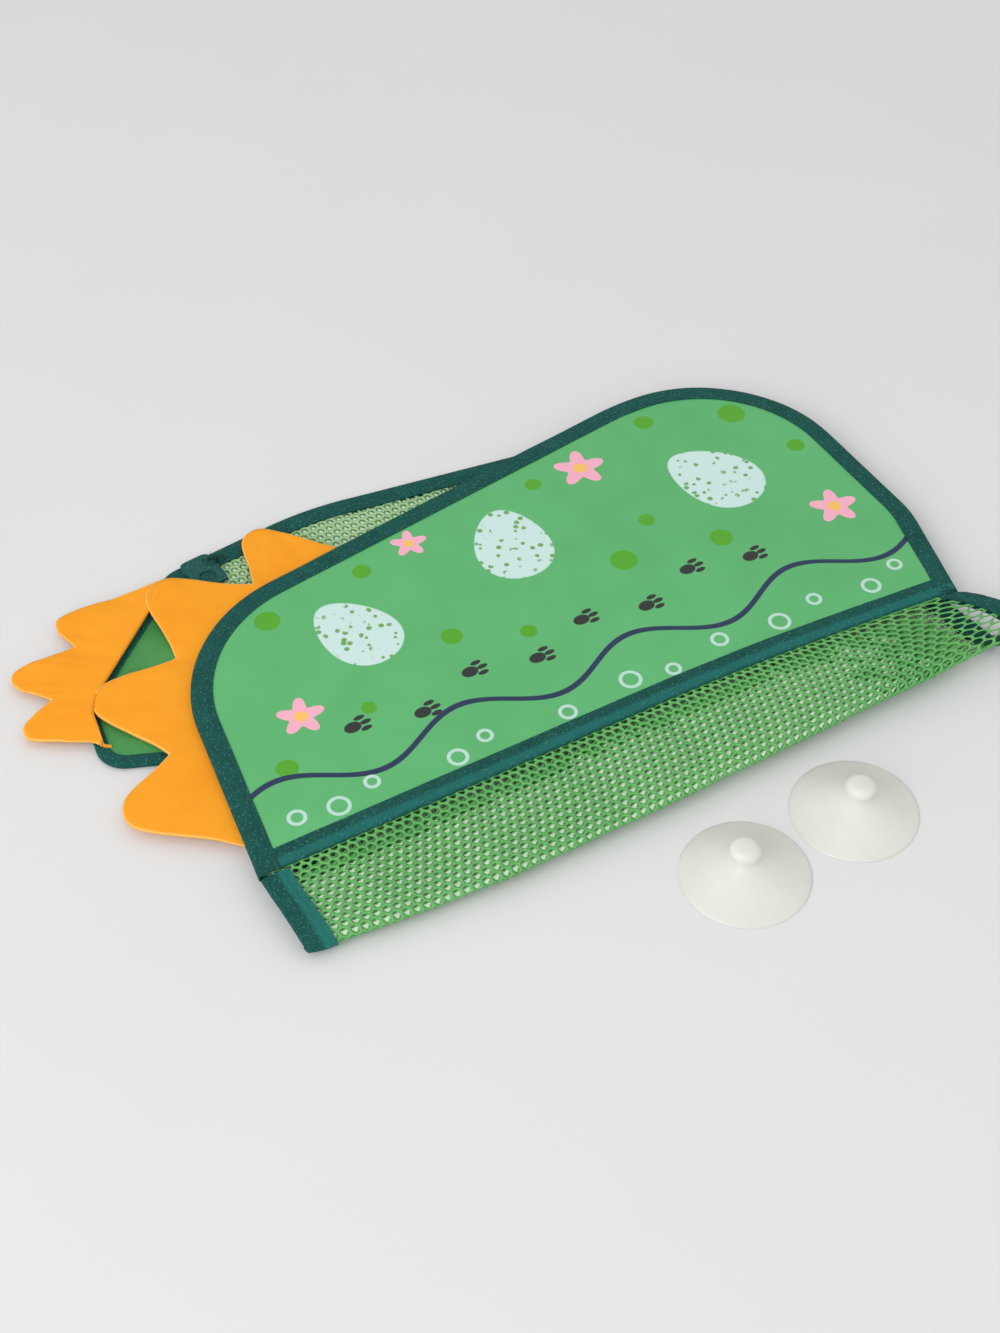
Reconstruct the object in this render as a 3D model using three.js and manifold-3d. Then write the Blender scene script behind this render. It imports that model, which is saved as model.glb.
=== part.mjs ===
// Bath toy organizer: a netting pocket with a stiffened cloth front, taped edges, felt frills
// and two loose suction cups, lying folded flat on a table.
// Millimetres. +X runs along the bottom fold, +Y from the fold to the mouth, +Z up from the table.
import * as THREE from 'three';
import { mergeVertices } from 'three/addons/utils/BufferGeometryUtils.js';
import Module from 'manifold-3d';

const wasm = await Module();
wasm.setup();

// Thickness of each material
const PRINT_CLOTH = 0.5;
const STIFFENER_BOARD = 1.2;
const LINING_CLOTH = 0.4;
const NETTING = 0.9;
const GUSSET_CLOTH = 1.4; // one cloth folded double
const FELT = 1.6;
const STRAP = 1.2;

// Binding tape, folded round an edge
const TAPE_WIDTH = 10;
const TAPE_PLY = 0.7;
const TAPE_BEND = 0.8; // tape beyond the edge that it wraps

// Clearances
const LAYER_GAP = 0.1; // between layers that are sewn together
const SEAT_GAP = 0.3; // between neighbouring pieces
const HINGE_GAP = 0.4; // netting left out where it bends under the front's hem

// Front, measured from the left end of the bottom fold
const FRONT_LIFT = 7.2; // table to the underside of the front's tape
const FRONT_OVERHANG = 5; // front's left end beyond the fold's left end
const FRONT_WIDTH = 365;
const HEM_Y = 38; // fold to the front's bottom edge
const SHOULDER_RISE = 145; // bottom edge to the point of the shoulder
const SHOULDER_LEAN = 19; // how far the left side leans in on its way up
const SHOULDER_RADIUS = 78;
const HUMP_RISE = 183.5; // bottom edge to the top of the hump
const HUMP_RUN = 84; // level stretch before the hump's corner
const HUMP_RADIUS = 72;
const BROW_RADIUS = 120;
const CHIN_RISE = 42; // bottom edge to where the right side starts to lean in
const CHIN_LEAN = 12;
const CHIN_RADIUS = 60;

// Felt frills: notches and lobe tips in turn, as [x, y] from the left end of the bottom fold
const LOBE_FOOT = 0.5; // share of the way to the tip on which a lobe's side heads straight for it
const LOBE_TIP = 0.5; // share of a lobe's half width that is drawn into its round tip
const FRILL_TUCK = 8; // felt hidden under the front's tape
const FRONT_FRILL_NOTCHES = [[-2, 59], [-9, 120], [16, 172], [66, 197.5], [111, 201.5]];
const FRONT_FRILL_TIPS = [[-39, 99.5], [-25.5, 167], [25, 220], [79.5, 231]];
const SIDE_FRILL_NOTCHES = [[28, 222], [-20.5, 202], [-41.5, 176], [-28, 139.5]];
const SIDE_FRILL_TIPS = [[-23, 219], [-52.5, 197], [-59, 164]];
const SIDE_FRILL_FOOT = [4, 165];

// Pocket netting: a roll from the hem over to the bottom fold, fuller at its right end
const ROLL_LEFT = -2;
const ROLL_SHORT = 1; // netting's right end inside the hem's
const ROLL_BULGE = 10; // how far the right end swings out between hem and fold
const FOLD_Y = 4;
const ROLL_SHOULDER = 16; // level netting before the roll turns down
const ROLL_REACH_LEFT = 22; // pull of the roll in front of the fold
const ROLL_REACH_MIDDLE = 46;
const ROLL_REACH_RIGHT = 34;
const ROLL_SWELL_LEFT = 8; // pull of the roll above the table
const ROLL_SWELL_RIGHT = 22;
const ROLL_STEPS = 20;
const TOE_START = 0.72; // share of the roll above the toe
const NET_COLUMNS = 14;
const NET_ROWS = 4;
const TOE_ROWS = 3;
const NET_KNOT = 0.2; // half a knot, as a share of half a mesh
const NET_SELVEDGE = 0.12;

// Back netting
const BACK_LEFT = 8;
const BACK_WIDTH = 310;
const BACK_RISE_LEFT = 223;
const BACK_RISE_CROWN = 233;
const BACK_RISE_RIGHT = 202;
const BACK_LEAN = 19;
const BACK_CROWN_X = 102; // back's left end to the crown of its top edge
const BACK_CORNER = 16;
const BACK_CROWN_RADIUS = 160;
const BACK_NET_PITCH = 24;
const BACK_NET_STRAND = 3.5;

// Gussets: side cloth folded outwards at its middle seam
const GUSSET_TAPE = 8;
const LEFT_GUSSET_LOW = 108; // fold to the gusset's lower edge
const LEFT_GUSSET_HIGH = 220;
const LEFT_GUSSET_REACH = 54; // back's edge to the middle seam
const LEFT_GUSSET_BELLY = 166;
const LEFT_GUSSET_DROP = 22; // how much lower the inner corner lies than the outer one
const GUSSET_ROUND = 14;
const BELLY_ROUND = 26;
const RIGHT_GUSSET_LOW = 84;
const RIGHT_GUSSET_HIGH = 171;
const RIGHT_GUSSET_REACH = 24;

// Hanging tabs sewn to the back's top tape, and the suction cups that button into them
const TAB_WIDTH = 16;
const TAB_LENGTH = 21;
const TAB_SEWN = 8;
const TAB_HOLE = 8;
const TAB_ROUND = 4;
const LEFT_TAB_AT = 242; // along the back's edge from the fold's left end
const RIGHT_TAB_AT = 234.8; // along the back's edge from the fold's right end
const CUP_DIAMETER = 55;
const CUP_RIM = 3; // flat ring that meets the wall
const CUP_LIP = 1.2;
const CUP_HOLLOW = 9;
const CUP_NECK_HEIGHT = 13;
const CUP_NECK_DIAMETER = 8.5;
const CUP_HEIGHT = 21;
const KNOB_DIAMETER = 13.5;
const KNOB_UNDERCUT = -Math.PI / 4; // angle at which the knob's round starts above the neck
const SKIRT_SWEEP = 2; // neck radii out to where the skirt's curve is pulled
const HOLLOW_SWEEP = 3; // neck radii out to where the hollow's curve is pulled
const CUP_SIDES = 30;
const CUP_STEPS = 6; // straight pieces in each curve of a cup's profile
const CUP_PLACES = { left_suction_cup: [172, -52], right_suction_cup: [231, -47] };

// Drawing aids
const ARC_POINTS = 4; // half the points of each rounded corner
const LOBE_POINTS = 6; // straight pieces in each half of a lobe
const SAME_POINT = 0.001; // points nearer than this are one point
const PAST = 1; // how far a cutter runs past what it cuts
const FAR = 1000; // longer than the object

// Colours
const PANEL_GREEN = 0x62b675;
const TAPE_GREEN = 0x1f5c55;
const NET_GREEN = 0x6cbf6e;
const GUSSET_GREEN = 0x3f9247;
const FRILL_ORANGE = 0xfda232;
const BOARD_WHITE = 0xe6e6e0;
const CUP_MILK = 0xe7e7e0;

// Heights worked out from the layers
const wrapped = (stack) => stack + 2 * (LAYER_GAP + TAPE_PLY);
const frontStack = LINING_CLOTH + STIFFENER_BOARD + PRINT_CLOTH + 2 * LAYER_GAP;
const frontMiddle = FRONT_LIFT + wrapped(frontStack) / 2;
const netMiddle = wrapped(NETTING) / 2;
const backTop = wrapped(NETTING);
const gussetTop = wrapped(GUSSET_CLOTH);

// Places worked out from the sizes
const seamTake = TAPE_BEND + LAYER_GAP; // how far a wrapped edge lies inside its tape's outline
const frontRight = FRONT_WIDTH - FRONT_OVERHANG;
const rollRight = frontRight - CHIN_LEAN - ROLL_SHORT;
const hemTop = HEM_Y + TAPE_WIDTH;
const backRight = BACK_LEFT + BACK_WIDTH;
const backFlare = rollRight - backRight; // the back reaches as far right as the roll at the fold
const backStart = FOLD_Y + SEAT_GAP / 2;
const backTail = 2 * TAPE_WIDTH; // outline carried on past the fold, then cut off

// Solids
function toSolid(geometry) {
  const bare = new THREE.BufferGeometry();
  bare.setAttribute('position', geometry.getAttribute('position'));
  bare.setIndex(geometry.getIndex());
  const merged = mergeVertices(bare, SAME_POINT / 10);
  const corners = merged.getIndex().array;
  const kept = [];
  for (let i = 0; i < corners.length; i += 3) {
    const [a, b, c] = corners.slice(i, i + 3);
    if (a !== b && b !== c && c !== a) kept.push(a, b, c);
  }
  return new wasm.Manifold(new wasm.Mesh({
    numProp: 3,
    vertProperties: merged.getAttribute('position').array,
    triVerts: new Uint32Array(kept),
  }));
}

function toGeometry(solid) {
  const { vertProperties, triVerts } = solid.getMesh();
  const geometry = new THREE.BufferGeometry();
  geometry.setAttribute('position', new THREE.BufferAttribute(vertProperties, 3));
  geometry.setIndex(new THREE.BufferAttribute(triVerts, 1));
  geometry.computeVertexNormals();
  return geometry;
}

function slab(points, low, high) {
  const rings = Array.isArray(points[0]) ? points : [points];
  const shapes = rings.map((ring) => new THREE.Shape(ring));
  const geometry = new THREE.ExtrudeGeometry(shapes, { depth: high - low, bevelEnabled: false });
  geometry.translate(0, 0, low);
  return toSolid(geometry);
}

function box(x0, x1, y0, y1, z0, z1) {
  const geometry = new THREE.BoxGeometry(x1 - x0, y1 - y0, z1 - z0);
  geometry.translate((x0 + x1) / 2, (y0 + y1) / 2, (z0 + z1) / 2);
  return toSolid(geometry);
}

// Outlines
const vec = (x, y) => new THREE.Vector2(x, y);

// An open path through corners [x, y, radius], each corner rounded by an arc
function roundedPath(corners) {
  const path = new THREE.Path();
  path.moveTo(corners[0][0], corners[0][1]);
  for (let i = 1; i < corners.length - 1; i += 1) {
    const [x, y, radius] = corners[i];
    const corner = vec(x, y);
    const back = vec(corners[i - 1][0], corners[i - 1][1]).sub(corner).normalize();
    const ahead = vec(corners[i + 1][0], corners[i + 1][1]).sub(corner).normalize();
    const half = Math.acos(THREE.MathUtils.clamp(back.dot(ahead), -1, 1)) / 2;
    const middle = back.clone().add(ahead).normalize().multiplyScalar(radius / Math.sin(half)).add(corner);
    const from = corner.clone().addScaledVector(back, radius / Math.tan(half));
    const to = corner.clone().addScaledVector(ahead, radius / Math.tan(half));
    path.lineTo(from.x, from.y);
    if (radius === 0) continue;
    const startAngle = from.sub(middle).angle();
    const endAngle = to.sub(middle).angle();
    path.absarc(middle.x, middle.y, radius, startAngle, endAngle, back.cross(ahead) > 0);
  }
  const last = corners[corners.length - 1];
  path.lineTo(last[0], last[1]);
  return path;
}

// A closed outline, anticlockwise and without repeated points
function outline(path, pieces = ARC_POINTS) {
  const points = path.getPoints(pieces);
  const kept = points.filter((p, i) => p.distanceTo(points[(i + 1) % points.length]) > SAME_POINT);
  return THREE.ShapeUtils.isClockWise(kept) ? kept.reverse() : kept;
}

function inset(points, distance) {
  const count = points.length;
  return points.map((p, i) => {
    const into = p.clone().sub(points[(i + count - 1) % count]).normalize();
    const away = points[(i + 1) % count].clone().sub(p).normalize();
    const side = vec(-into.y - away.y, into.x + away.x);
    return p.clone().addScaledVector(side, distance / (1 + into.dot(away)));
  });
}

// Tape folded round the edge of a flat piece: a ring with a slot for the piece
function binding(edge, low, stack, width) {
  const high = low + wrapped(stack);
  const ring = slab(edge, low, high).subtract(slab(inset(edge, width), low - PAST, high + PAST));
  return ring.subtract(slab(inset(edge, TAPE_BEND), low + TAPE_PLY, high - TAPE_PLY));
}

// A net: knots at every second point of a half-mesh grid, slanting strands between them, and a selvedge
function netFaces(columns, rows, knot, selvedge) {
  const [across, up] = [2 * columns, 2 * rows];
  const faces = [];
  for (let i = 0; i <= across; i += 1) {
    for (let j = i % 2; j <= up; j += 2) {
      const ring = [];
      if (i % across === 0 && j % up === 0) ring.push([i, j]);
      if (j > 0) ring.push([i, j - knot]);
      if (i < across) ring.push([i + knot, j]);
      if (j < up) ring.push([i, j + knot]);
      if (i > 0) ring.push([i - knot, j]);
      faces.push(ring.sort((a, b) => turnAround(ring, a) - turnAround(ring, b)));
      if (j === up) continue;
      if (i < across) {
        faces.push([[i + knot, j], [i + 1, j + 1 - knot], [i + 1 - knot, j + 1], [i, j + knot]]);
      }
      if (i > 0) {
        faces.push([[i, j + knot], [i - 1 + knot, j + 1], [i - 1, j + 1 - knot], [i - knot, j]]);
      }
    }
  }
  const stops = (end) => {
    const inner = [];
    for (let i = 0; i < end; i += 2) inner.push(i + knot, i + 1, i + 2 - knot);
    return [-selvedge, 0, ...inner, end, end + selvedge];
  };
  const strip = (stopsU, stopsV) => {
    for (let i = 0; i + 1 < stopsU.length; i += 1) {
      for (let j = 0; j + 1 < stopsV.length; j += 1) {
        const [u0, u1] = [stopsU[i], stopsU[i + 1]];
        const [v0, v1] = [stopsV[j], stopsV[j + 1]];
        faces.push([[u0, v0], [u1, v0], [u1, v1], [u0, v1]]);
      }
    }
  };
  strip(stops(across), [-selvedge, 0]);
  strip(stops(across), [up, up + selvedge]);
  strip([-selvedge, 0], stops(up).slice(1, -1));
  strip([across, across + selvedge], stops(up).slice(1, -1));
  const share = (value, end) => (value + selvedge) / (end + 2 * selvedge);
  return faces.map((ring) => ring.map(([u, v]) => [share(u, across), share(v, up)]));
}

function turnAround(ring, point) {
  const middleU = ring.reduce((sum, p) => sum + p[0], 0) / ring.length;
  const middleV = ring.reduce((sum, p) => sum + p[1], 0) / ring.length;
  return Math.atan2(point[1] - middleV, point[0] - middleU);
}

function shell(faces, place, low, high) {
  const places = new Map();
  const corners = [];
  const indexOf = ([u, v]) => {
    const key = `${u.toFixed(6)} ${v.toFixed(6)}`;
    if (!places.has(key)) {
      places.set(key, places.size);
      const { point, normal } = place(u, v);
      corners.push(point.clone().addScaledVector(normal, low), point.clone().addScaledVector(normal, high));
    }
    return 2 * places.get(key);
  };
  const rings = faces.map((ring) => ring.map(indexOf));
  const edges = new Set();
  rings.forEach((ring) => ring.forEach((a, i) => edges.add(`${a} ${ring[(i + 1) % ring.length]}`)));
  const triangles = [];
  rings.forEach((ring) => {
    for (let i = 1; i + 1 < ring.length; i += 1) {
      triangles.push(ring[0] + 1, ring[i] + 1, ring[i + 1] + 1);
      triangles.push(ring[0], ring[i + 1], ring[i]);
    }
    ring.forEach((a, i) => {
      const b = ring[(i + 1) % ring.length];
      if (edges.has(`${b} ${a}`)) return;
      triangles.push(a, b, b + 1, a, b + 1, a + 1);
    });
  });
  const geometry = new THREE.BufferGeometry().setFromPoints(corners);
  geometry.setIndex(triangles);
  return toSolid(geometry);
}

const rollShare = (x) => (x - ROLL_LEFT) / (rollRight - ROLL_LEFT);

// The roll's section at a place along the fold, from the hem to the bottom fold, as (y, z)
function rollSection(x) {
  const share = rollShare(x);
  const fuller = ROLL_REACH_MIDDLE - (ROLL_REACH_LEFT + ROLL_REACH_RIGHT) / 2;
  const straight = THREE.MathUtils.lerp(ROLL_REACH_LEFT, ROLL_REACH_RIGHT, share);
  const reach = straight + fuller * 4 * share * (1 - share);
  const swell = THREE.MathUtils.lerp(ROLL_SWELL_LEFT, ROLL_SWELL_RIGHT, share);
  const start = vec(HEM_Y - HINGE_GAP, frontMiddle);
  const end = vec(FOLD_Y - SEAT_GAP / 2, netMiddle);
  return new THREE.CubicBezierCurve(
    start,
    vec(start.x - ROLL_SHOULDER, start.y),
    vec(FOLD_Y - reach, netMiddle + swell),
    end,
  );
}

const onRoll = (x0, x1, t0, t1) => (u, v) => {
  const x = THREE.MathUtils.lerp(x0, x1, u);
  const section = rollSection(x);
  const t = THREE.MathUtils.lerp(t0, t1, v);
  const at = section.getPoint(t);
  const along = section.getTangent(t);
  const bulge = ROLL_BULGE * rollShare(x) * Math.sin(Math.PI * t);
  return { point: new THREE.Vector3(x + bulge, at.x, at.y), normal: new THREE.Vector3(0, -along.y, along.x) };
};

// Front edge, clockwise from the hem's left end over the top to the hem's right end
const frontEdge = roundedPath([
  [-FRONT_OVERHANG, HEM_Y],
  [SHOULDER_LEAN - FRONT_OVERHANG, HEM_Y + SHOULDER_RISE, SHOULDER_RADIUS],
  [frontRight - HUMP_RUN, HEM_Y + HUMP_RISE, BROW_RADIUS],
  [frontRight, HEM_Y + HUMP_RISE, HUMP_RADIUS],
  [frontRight, HEM_Y + CHIN_RISE, CHIN_RADIUS],
  [frontRight - CHIN_LEAN, HEM_Y],
]);
const frontOutline = outline(frontEdge);
const below = (y) => box(-FAR, FAR, -FAR, y, -FAR, FAR);
const above = (y) => box(-FAR, FAR, y, FAR, -FAR, FAR);

function frontLayer(low, thickness) {
  return slab(inset(frontOutline, seamTake), low, low + thickness);
}

const frontTape = binding(frontOutline, FRONT_LIFT, frontStack, TAPE_WIDTH);
const frontBinding = () => frontTape.subtract(below(hemTop + SEAT_GAP));
const hemBinding = () => frontTape.subtract(above(hemTop));

// A scalloped edge: each lobe is two curves that head from the notches for the tip and meet square there
function scallops(notches, tips) {
  const path = new THREE.Path();
  path.moveTo(...notches[0]);
  tips.forEach((place, i) => {
    const tip = vec(...place);
    const [start, end] = [vec(...notches[i]), vec(...notches[i + 1])];
    const out = tip.clone().sub(start.clone().add(end).divideScalar(2)).normalize();
    const turn = Math.sign(out.cross(end.clone().sub(start)));
    const across = vec(-out.y, out.x).multiplyScalar(turn);
    const leave = (notch) => {
      const run = tip.clone().sub(notch).dot(across);
      return {
        low: notch.clone().lerp(tip, LOBE_FOOT),
        high: tip.clone().addScaledVector(across, -run * LOBE_TIP),
      };
    };
    const [up, down] = [leave(start), leave(end)];
    path.bezierCurveTo(up.low.x, up.low.y, up.high.x, up.high.y, tip.x, tip.y);
    path.bezierCurveTo(down.high.x, down.high.y, down.low.x, down.low.y, end.x, end.y);
  });
  return path;
}

function frontFrill() {
  const path = scallops(FRONT_FRILL_NOTCHES, FRONT_FRILL_TIPS);
  const [first, last] = [FRONT_FRILL_NOTCHES[0], FRONT_FRILL_NOTCHES[FRONT_FRILL_NOTCHES.length - 1]];
  path.lineTo(last[0], last[1] - 2 * FRILL_TUCK);
  path.lineTo(first[0] + 2 * FRILL_TUCK, first[1]);
  const low = FRONT_LIFT - SEAT_GAP - FELT;
  const felt = slab(outline(path, LOBE_POINTS), low, low + FELT);
  return felt.subtract(slab(inset(frontOutline, FRILL_TUCK), low - PAST, low + FELT + PAST));
}

// Netting of the pocket's front and its toe
function pocketNet(rows, t0, t1) {
  const faces = netFaces(NET_COLUMNS, rows, NET_KNOT, NET_SELVEDGE);
  const place = onRoll(ROLL_LEFT + seamTake, rollRight - seamTake, t0, t1);
  return shell(faces, place, -NETTING / 2, NETTING / 2);
}

const toeGap = SEAT_GAP / rollSection(ROLL_LEFT).getLength();
const pocketFront = () => pocketNet(NET_ROWS, 0, TOE_START);
const pocketToe = () => pocketNet(TOE_ROWS, TOE_START + toeGap, 1);

// Tape folded round an end of the netting: a channel swept along the roll
function endBinding(outer, inner) {
  const slotHalf = NETTING / 2 + SEAT_GAP;
  const half = slotHalf + TAPE_PLY;
  const web = outer + Math.sign(inner - outer) * TAPE_BEND;
  const profile = [
    [outer, -half], [inner, -half], [inner, -slotHalf], [web, -slotHalf],
    [web, slotHalf], [inner, slotHalf], [inner, half], [outer, half],
  ];
  if (inner < outer) profile.reverse();
  const points = [];
  for (let k = 0; k <= ROLL_STEPS; k += 1) {
    profile.forEach(([x, off]) => {
      const { point, normal } = onRoll(x, x, 0, 1)(0, k / ROLL_STEPS);
      points.push(point.addScaledVector(normal, off));
    });
  }
  const count = profile.length;
  const last = ROLL_STEPS * count;
  const triangles = [];
  for (let k = 0; k < last; k += count) {
    profile.forEach((_, i) => {
      const [here, next] = [k + i, k + (i + 1) % count];
      triangles.push(here, next + count, next, here, here + count, next + count);
    });
  }
  const cap = THREE.ShapeUtils.triangulateShape(profile.map(([x, off]) => vec(x, off)), []);
  cap.forEach(([i, j, k]) => triangles.push(i, j, k, last + i, last + k, last + j));
  const geometry = new THREE.BufferGeometry().setFromPoints(points);
  geometry.setIndex(triangles);
  const underFold = box(-FAR, FAR, FOLD_Y - 2 * SEAT_GAP, FAR, -FAR, backTop);
  const underTable = box(-FAR, FAR, -FAR, FAR, -FAR, 0);
  return toSolid(geometry).subtract(underFold).subtract(underTable);
}

// Back netting and its tape, with the fold side left open
const backLeftAt = (y) => BACK_LEFT + BACK_LEAN * (y - FOLD_Y) / BACK_RISE_LEFT;
const backRightAt = (y) => backRight + backFlare * (1 - (y - FOLD_Y) / BACK_RISE_RIGHT);
const backEdge = roundedPath([
  [backLeftAt(FOLD_Y - backTail), FOLD_Y - backTail],
  [BACK_LEFT + BACK_LEAN, FOLD_Y + BACK_RISE_LEFT, BACK_CORNER],
  [BACK_LEFT + BACK_CROWN_X, FOLD_Y + BACK_RISE_CROWN, BACK_CROWN_RADIUS],
  [backRight, FOLD_Y + BACK_RISE_RIGHT, BACK_CORNER],
  [backRightAt(FOLD_Y - backTail), FOLD_Y - backTail],
]);
const backOutline = outline(backEdge);

function backNet() {
  const low = TAPE_PLY + LAYER_GAP;
  const sheet = slab(inset(backOutline, seamTake), low, low + NETTING).subtract(below(backStart));
  const half = BACK_NET_PITCH / 2 - BACK_NET_STRAND / Math.SQRT2;
  const gaps = [];
  for (let i = 0; i * BACK_NET_PITCH < 2 * (BACK_WIDTH + backFlare); i += 1) {
    for (let j = i % 2; j * BACK_NET_PITCH < 2 * BACK_RISE_CROWN; j += 2) {
      const [x, y] = [BACK_LEFT + i * BACK_NET_PITCH / 2, backStart + j * BACK_NET_PITCH / 2];
      gaps.push([vec(x - half, y), vec(x, y - half), vec(x + half, y), vec(x, y + half)]);
    }
  }
  const inside = slab(inset(backOutline, TAPE_WIDTH - BACK_NET_STRAND), low - PAST, low + NETTING + PAST);
  const cut = slab(gaps, low - PAST, low + NETTING + PAST).intersect(inside);
  return sheet.subtract(cut.subtract(below(backStart + BACK_NET_STRAND)));
}

const backBinding = () => binding(backOutline, 0, NETTING, TAPE_WIDTH).subtract(below(backStart));

// Gussets
const leftInner = (y) => backLeftAt(y) - SEAT_GAP + seamTake;
const leftSeam = roundedPath([
  [leftInner(LEFT_GUSSET_HIGH), LEFT_GUSSET_HIGH],
  [leftInner(LEFT_GUSSET_BELLY) - LEFT_GUSSET_REACH, LEFT_GUSSET_BELLY, BELLY_ROUND],
  [leftInner(LEFT_GUSSET_LOW) - LEFT_GUSSET_REACH, LEFT_GUSSET_LOW + LEFT_GUSSET_DROP, GUSSET_ROUND],
  [leftInner(LEFT_GUSSET_LOW), LEFT_GUSSET_LOW],
]);
const leftGussetOutline = outline(leftSeam);
const rightInner = (y) => backRightAt(y) + SEAT_GAP - seamTake;
const rightGussetOutline = outline(roundedPath([
  [rightInner(RIGHT_GUSSET_LOW), RIGHT_GUSSET_LOW],
  [rightInner(RIGHT_GUSSET_LOW) + RIGHT_GUSSET_REACH, RIGHT_GUSSET_LOW, GUSSET_ROUND],
  [rightInner(RIGHT_GUSSET_HIGH) + RIGHT_GUSSET_REACH, RIGHT_GUSSET_HIGH, GUSSET_ROUND],
  [rightInner(RIGHT_GUSSET_HIGH), RIGHT_GUSSET_HIGH],
]));

function gussetCloth(edge) {
  const low = TAPE_PLY + LAYER_GAP;
  return slab(inset(edge, seamTake), low, low + GUSSET_CLOTH);
}

// The gusset's tape, with the side that is sewn to the back left open
function leftGussetBinding() {
  const openSide = [
    vec(leftInner(0) - GUSSET_TAPE, 0),
    vec(FAR, 0),
    vec(FAR, FAR),
    vec(leftInner(FAR) - GUSSET_TAPE, FAR),
  ];
  const ring = binding(leftGussetOutline, 0, GUSSET_CLOTH, GUSSET_TAPE);
  return ring.subtract(slab(openSide, -PAST, gussetTop + PAST));
}

function rightGussetBinding() {
  const openSide = [
    vec(0, 0),
    vec(rightInner(0) + GUSSET_TAPE, 0),
    vec(rightInner(FAR) + GUSSET_TAPE, FAR),
    vec(0, FAR),
  ];
  const ring = binding(rightGussetOutline, 0, GUSSET_CLOTH, GUSSET_TAPE);
  return ring.subtract(slab(openSide, -PAST, gussetTop + PAST));
}

// The side frill lies on the gusset and is sewn along its tape
function sideFrill() {
  const path = scallops(SIDE_FRILL_NOTCHES, SIDE_FRILL_TIPS);
  path.lineTo(...SIDE_FRILL_FOOT);
  const low = gussetTop + SEAT_GAP;
  const felt = slab(outline(path, LOBE_POINTS), low, low + FELT);
  return felt.subtract(slab(inset(leftGussetOutline, GUSSET_TAPE / 2), low - PAST, low + FELT + PAST));
}

// Hanging tabs: the left one lies folded in over the netting, the right one lies out past the tape
function cupTab(length, near, far) {
  const along = backEdge.getTangentAt(length / backEdge.getLength());
  const middle = backEdge.getPointAt(length / backEdge.getLength());
  const out = vec(-along.y, along.x);
  const spot = (a, b) => middle.clone().addScaledVector(along, a).addScaledVector(out, b);
  const half = TAB_WIDTH / 2;
  const corners = [[0, near], [-half, near], [-half, far], [half, far], [half, near], [0, near]];
  const strap = outline(roundedPath(corners.map(([a, b]) => [...spot(a, b).toArray(), TAB_ROUND])));
  const eye = spot(0, far - Math.sign(far - near) * (TAB_LENGTH - TAB_SEWN) / 2);
  const hole = new THREE.Path().absarc(eye.x, eye.y, TAB_HOLE / 2, 0, 2 * Math.PI);
  const low = backTop + SEAT_GAP;
  return slab(strap, low, low + STRAP).subtract(slab(outline(hole), low - PAST, low + STRAP + PAST));
}

const leftTab = () => cupTab(backTail + LEFT_TAB_AT, 0, -TAB_LENGTH);
const rightTabAt = backEdge.getLength() - backTail - RIGHT_TAB_AT;
const rightTab = () => cupTab(rightTabAt, -TAB_SEWN, TAB_LENGTH - TAB_SEWN);

// A suction cup: hollow skirt with a flat rim, a neck and a mushroom knob, turned about its axis
function suctionCup([x, y]) {
  const rim = CUP_DIAMETER / 2;
  const [neck, knob] = [CUP_NECK_DIAMETER / 2, KNOB_DIAMETER / 2];
  const knobRise = (CUP_HEIGHT - CUP_NECK_HEIGHT) / 2;
  const skirt = new THREE.QuadraticBezierCurve(
    vec(rim, CUP_LIP), vec(neck * SKIRT_SWEEP, CUP_HOLLOW), vec(neck, CUP_NECK_HEIGHT),
  );
  const hollow = new THREE.QuadraticBezierCurve(
    vec(0, CUP_HOLLOW), vec(neck * HOLLOW_SWEEP, CUP_HOLLOW), vec(rim - CUP_RIM, 0),
  );
  const knobMiddle = CUP_NECK_HEIGHT + knobRise;
  const crown = new THREE.EllipseCurve(0, knobMiddle, knob, knobRise, KNOB_UNDERCUT, Math.PI / 2);
  const profile = [
    ...hollow.getPoints(CUP_STEPS),
    vec(rim, 0),
    ...skirt.getPoints(CUP_STEPS),
    ...crown.getPoints(CUP_STEPS).slice(0, -1),
    vec(0, CUP_HEIGHT),
  ];
  const geometry = new THREE.LatheGeometry(profile, CUP_SIDES);
  geometry.rotateX(Math.PI / 2);
  geometry.translate(x, y, 0);
  return toSolid(geometry);
}

// The assembly, with its origin on the table under the middle of its box
const organizer = new THREE.Group();

function add(name, solid, color, roughness) {
  const material = new THREE.MeshStandardMaterial({ color, roughness, metalness: 0 });
  const mesh = new THREE.Mesh(toGeometry(solid), material);
  mesh.name = name;
  organizer.add(mesh);
}

const liningLow = FRONT_LIFT + TAPE_PLY + LAYER_GAP;
const boardLow = liningLow + LINING_CLOTH + LAYER_GAP;
const printLow = boardLow + STIFFENER_BOARD + LAYER_GAP;

add('front_panel', frontLayer(printLow, PRINT_CLOTH), PANEL_GREEN, 0.55);
add('front_stiffener', frontLayer(boardLow, STIFFENER_BOARD), BOARD_WHITE, 0.8);
add('front_lining', frontLayer(liningLow, LINING_CLOTH), PANEL_GREEN, 0.7);
add('front_binding', frontBinding(), TAPE_GREEN, 0.7);
add('hem_binding', hemBinding(), TAPE_GREEN, 0.7);
add('front_frill', frontFrill(), FRILL_ORANGE, 0.85);
add('pocket_mesh_front', pocketFront(), NET_GREEN, 0.6);
add('pocket_mesh_toe', pocketToe(), NET_GREEN, 0.6);
add('left_end_binding', endBinding(ROLL_LEFT, ROLL_LEFT + TAPE_WIDTH), TAPE_GREEN, 0.7);
add('right_end_binding', endBinding(rollRight, rollRight - TAPE_WIDTH), TAPE_GREEN, 0.7);
add('back_mesh', backNet(), NET_GREEN, 0.6);
add('back_binding', backBinding(), TAPE_GREEN, 0.7);
add('left_gusset', gussetCloth(leftGussetOutline), GUSSET_GREEN, 0.6);
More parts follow.
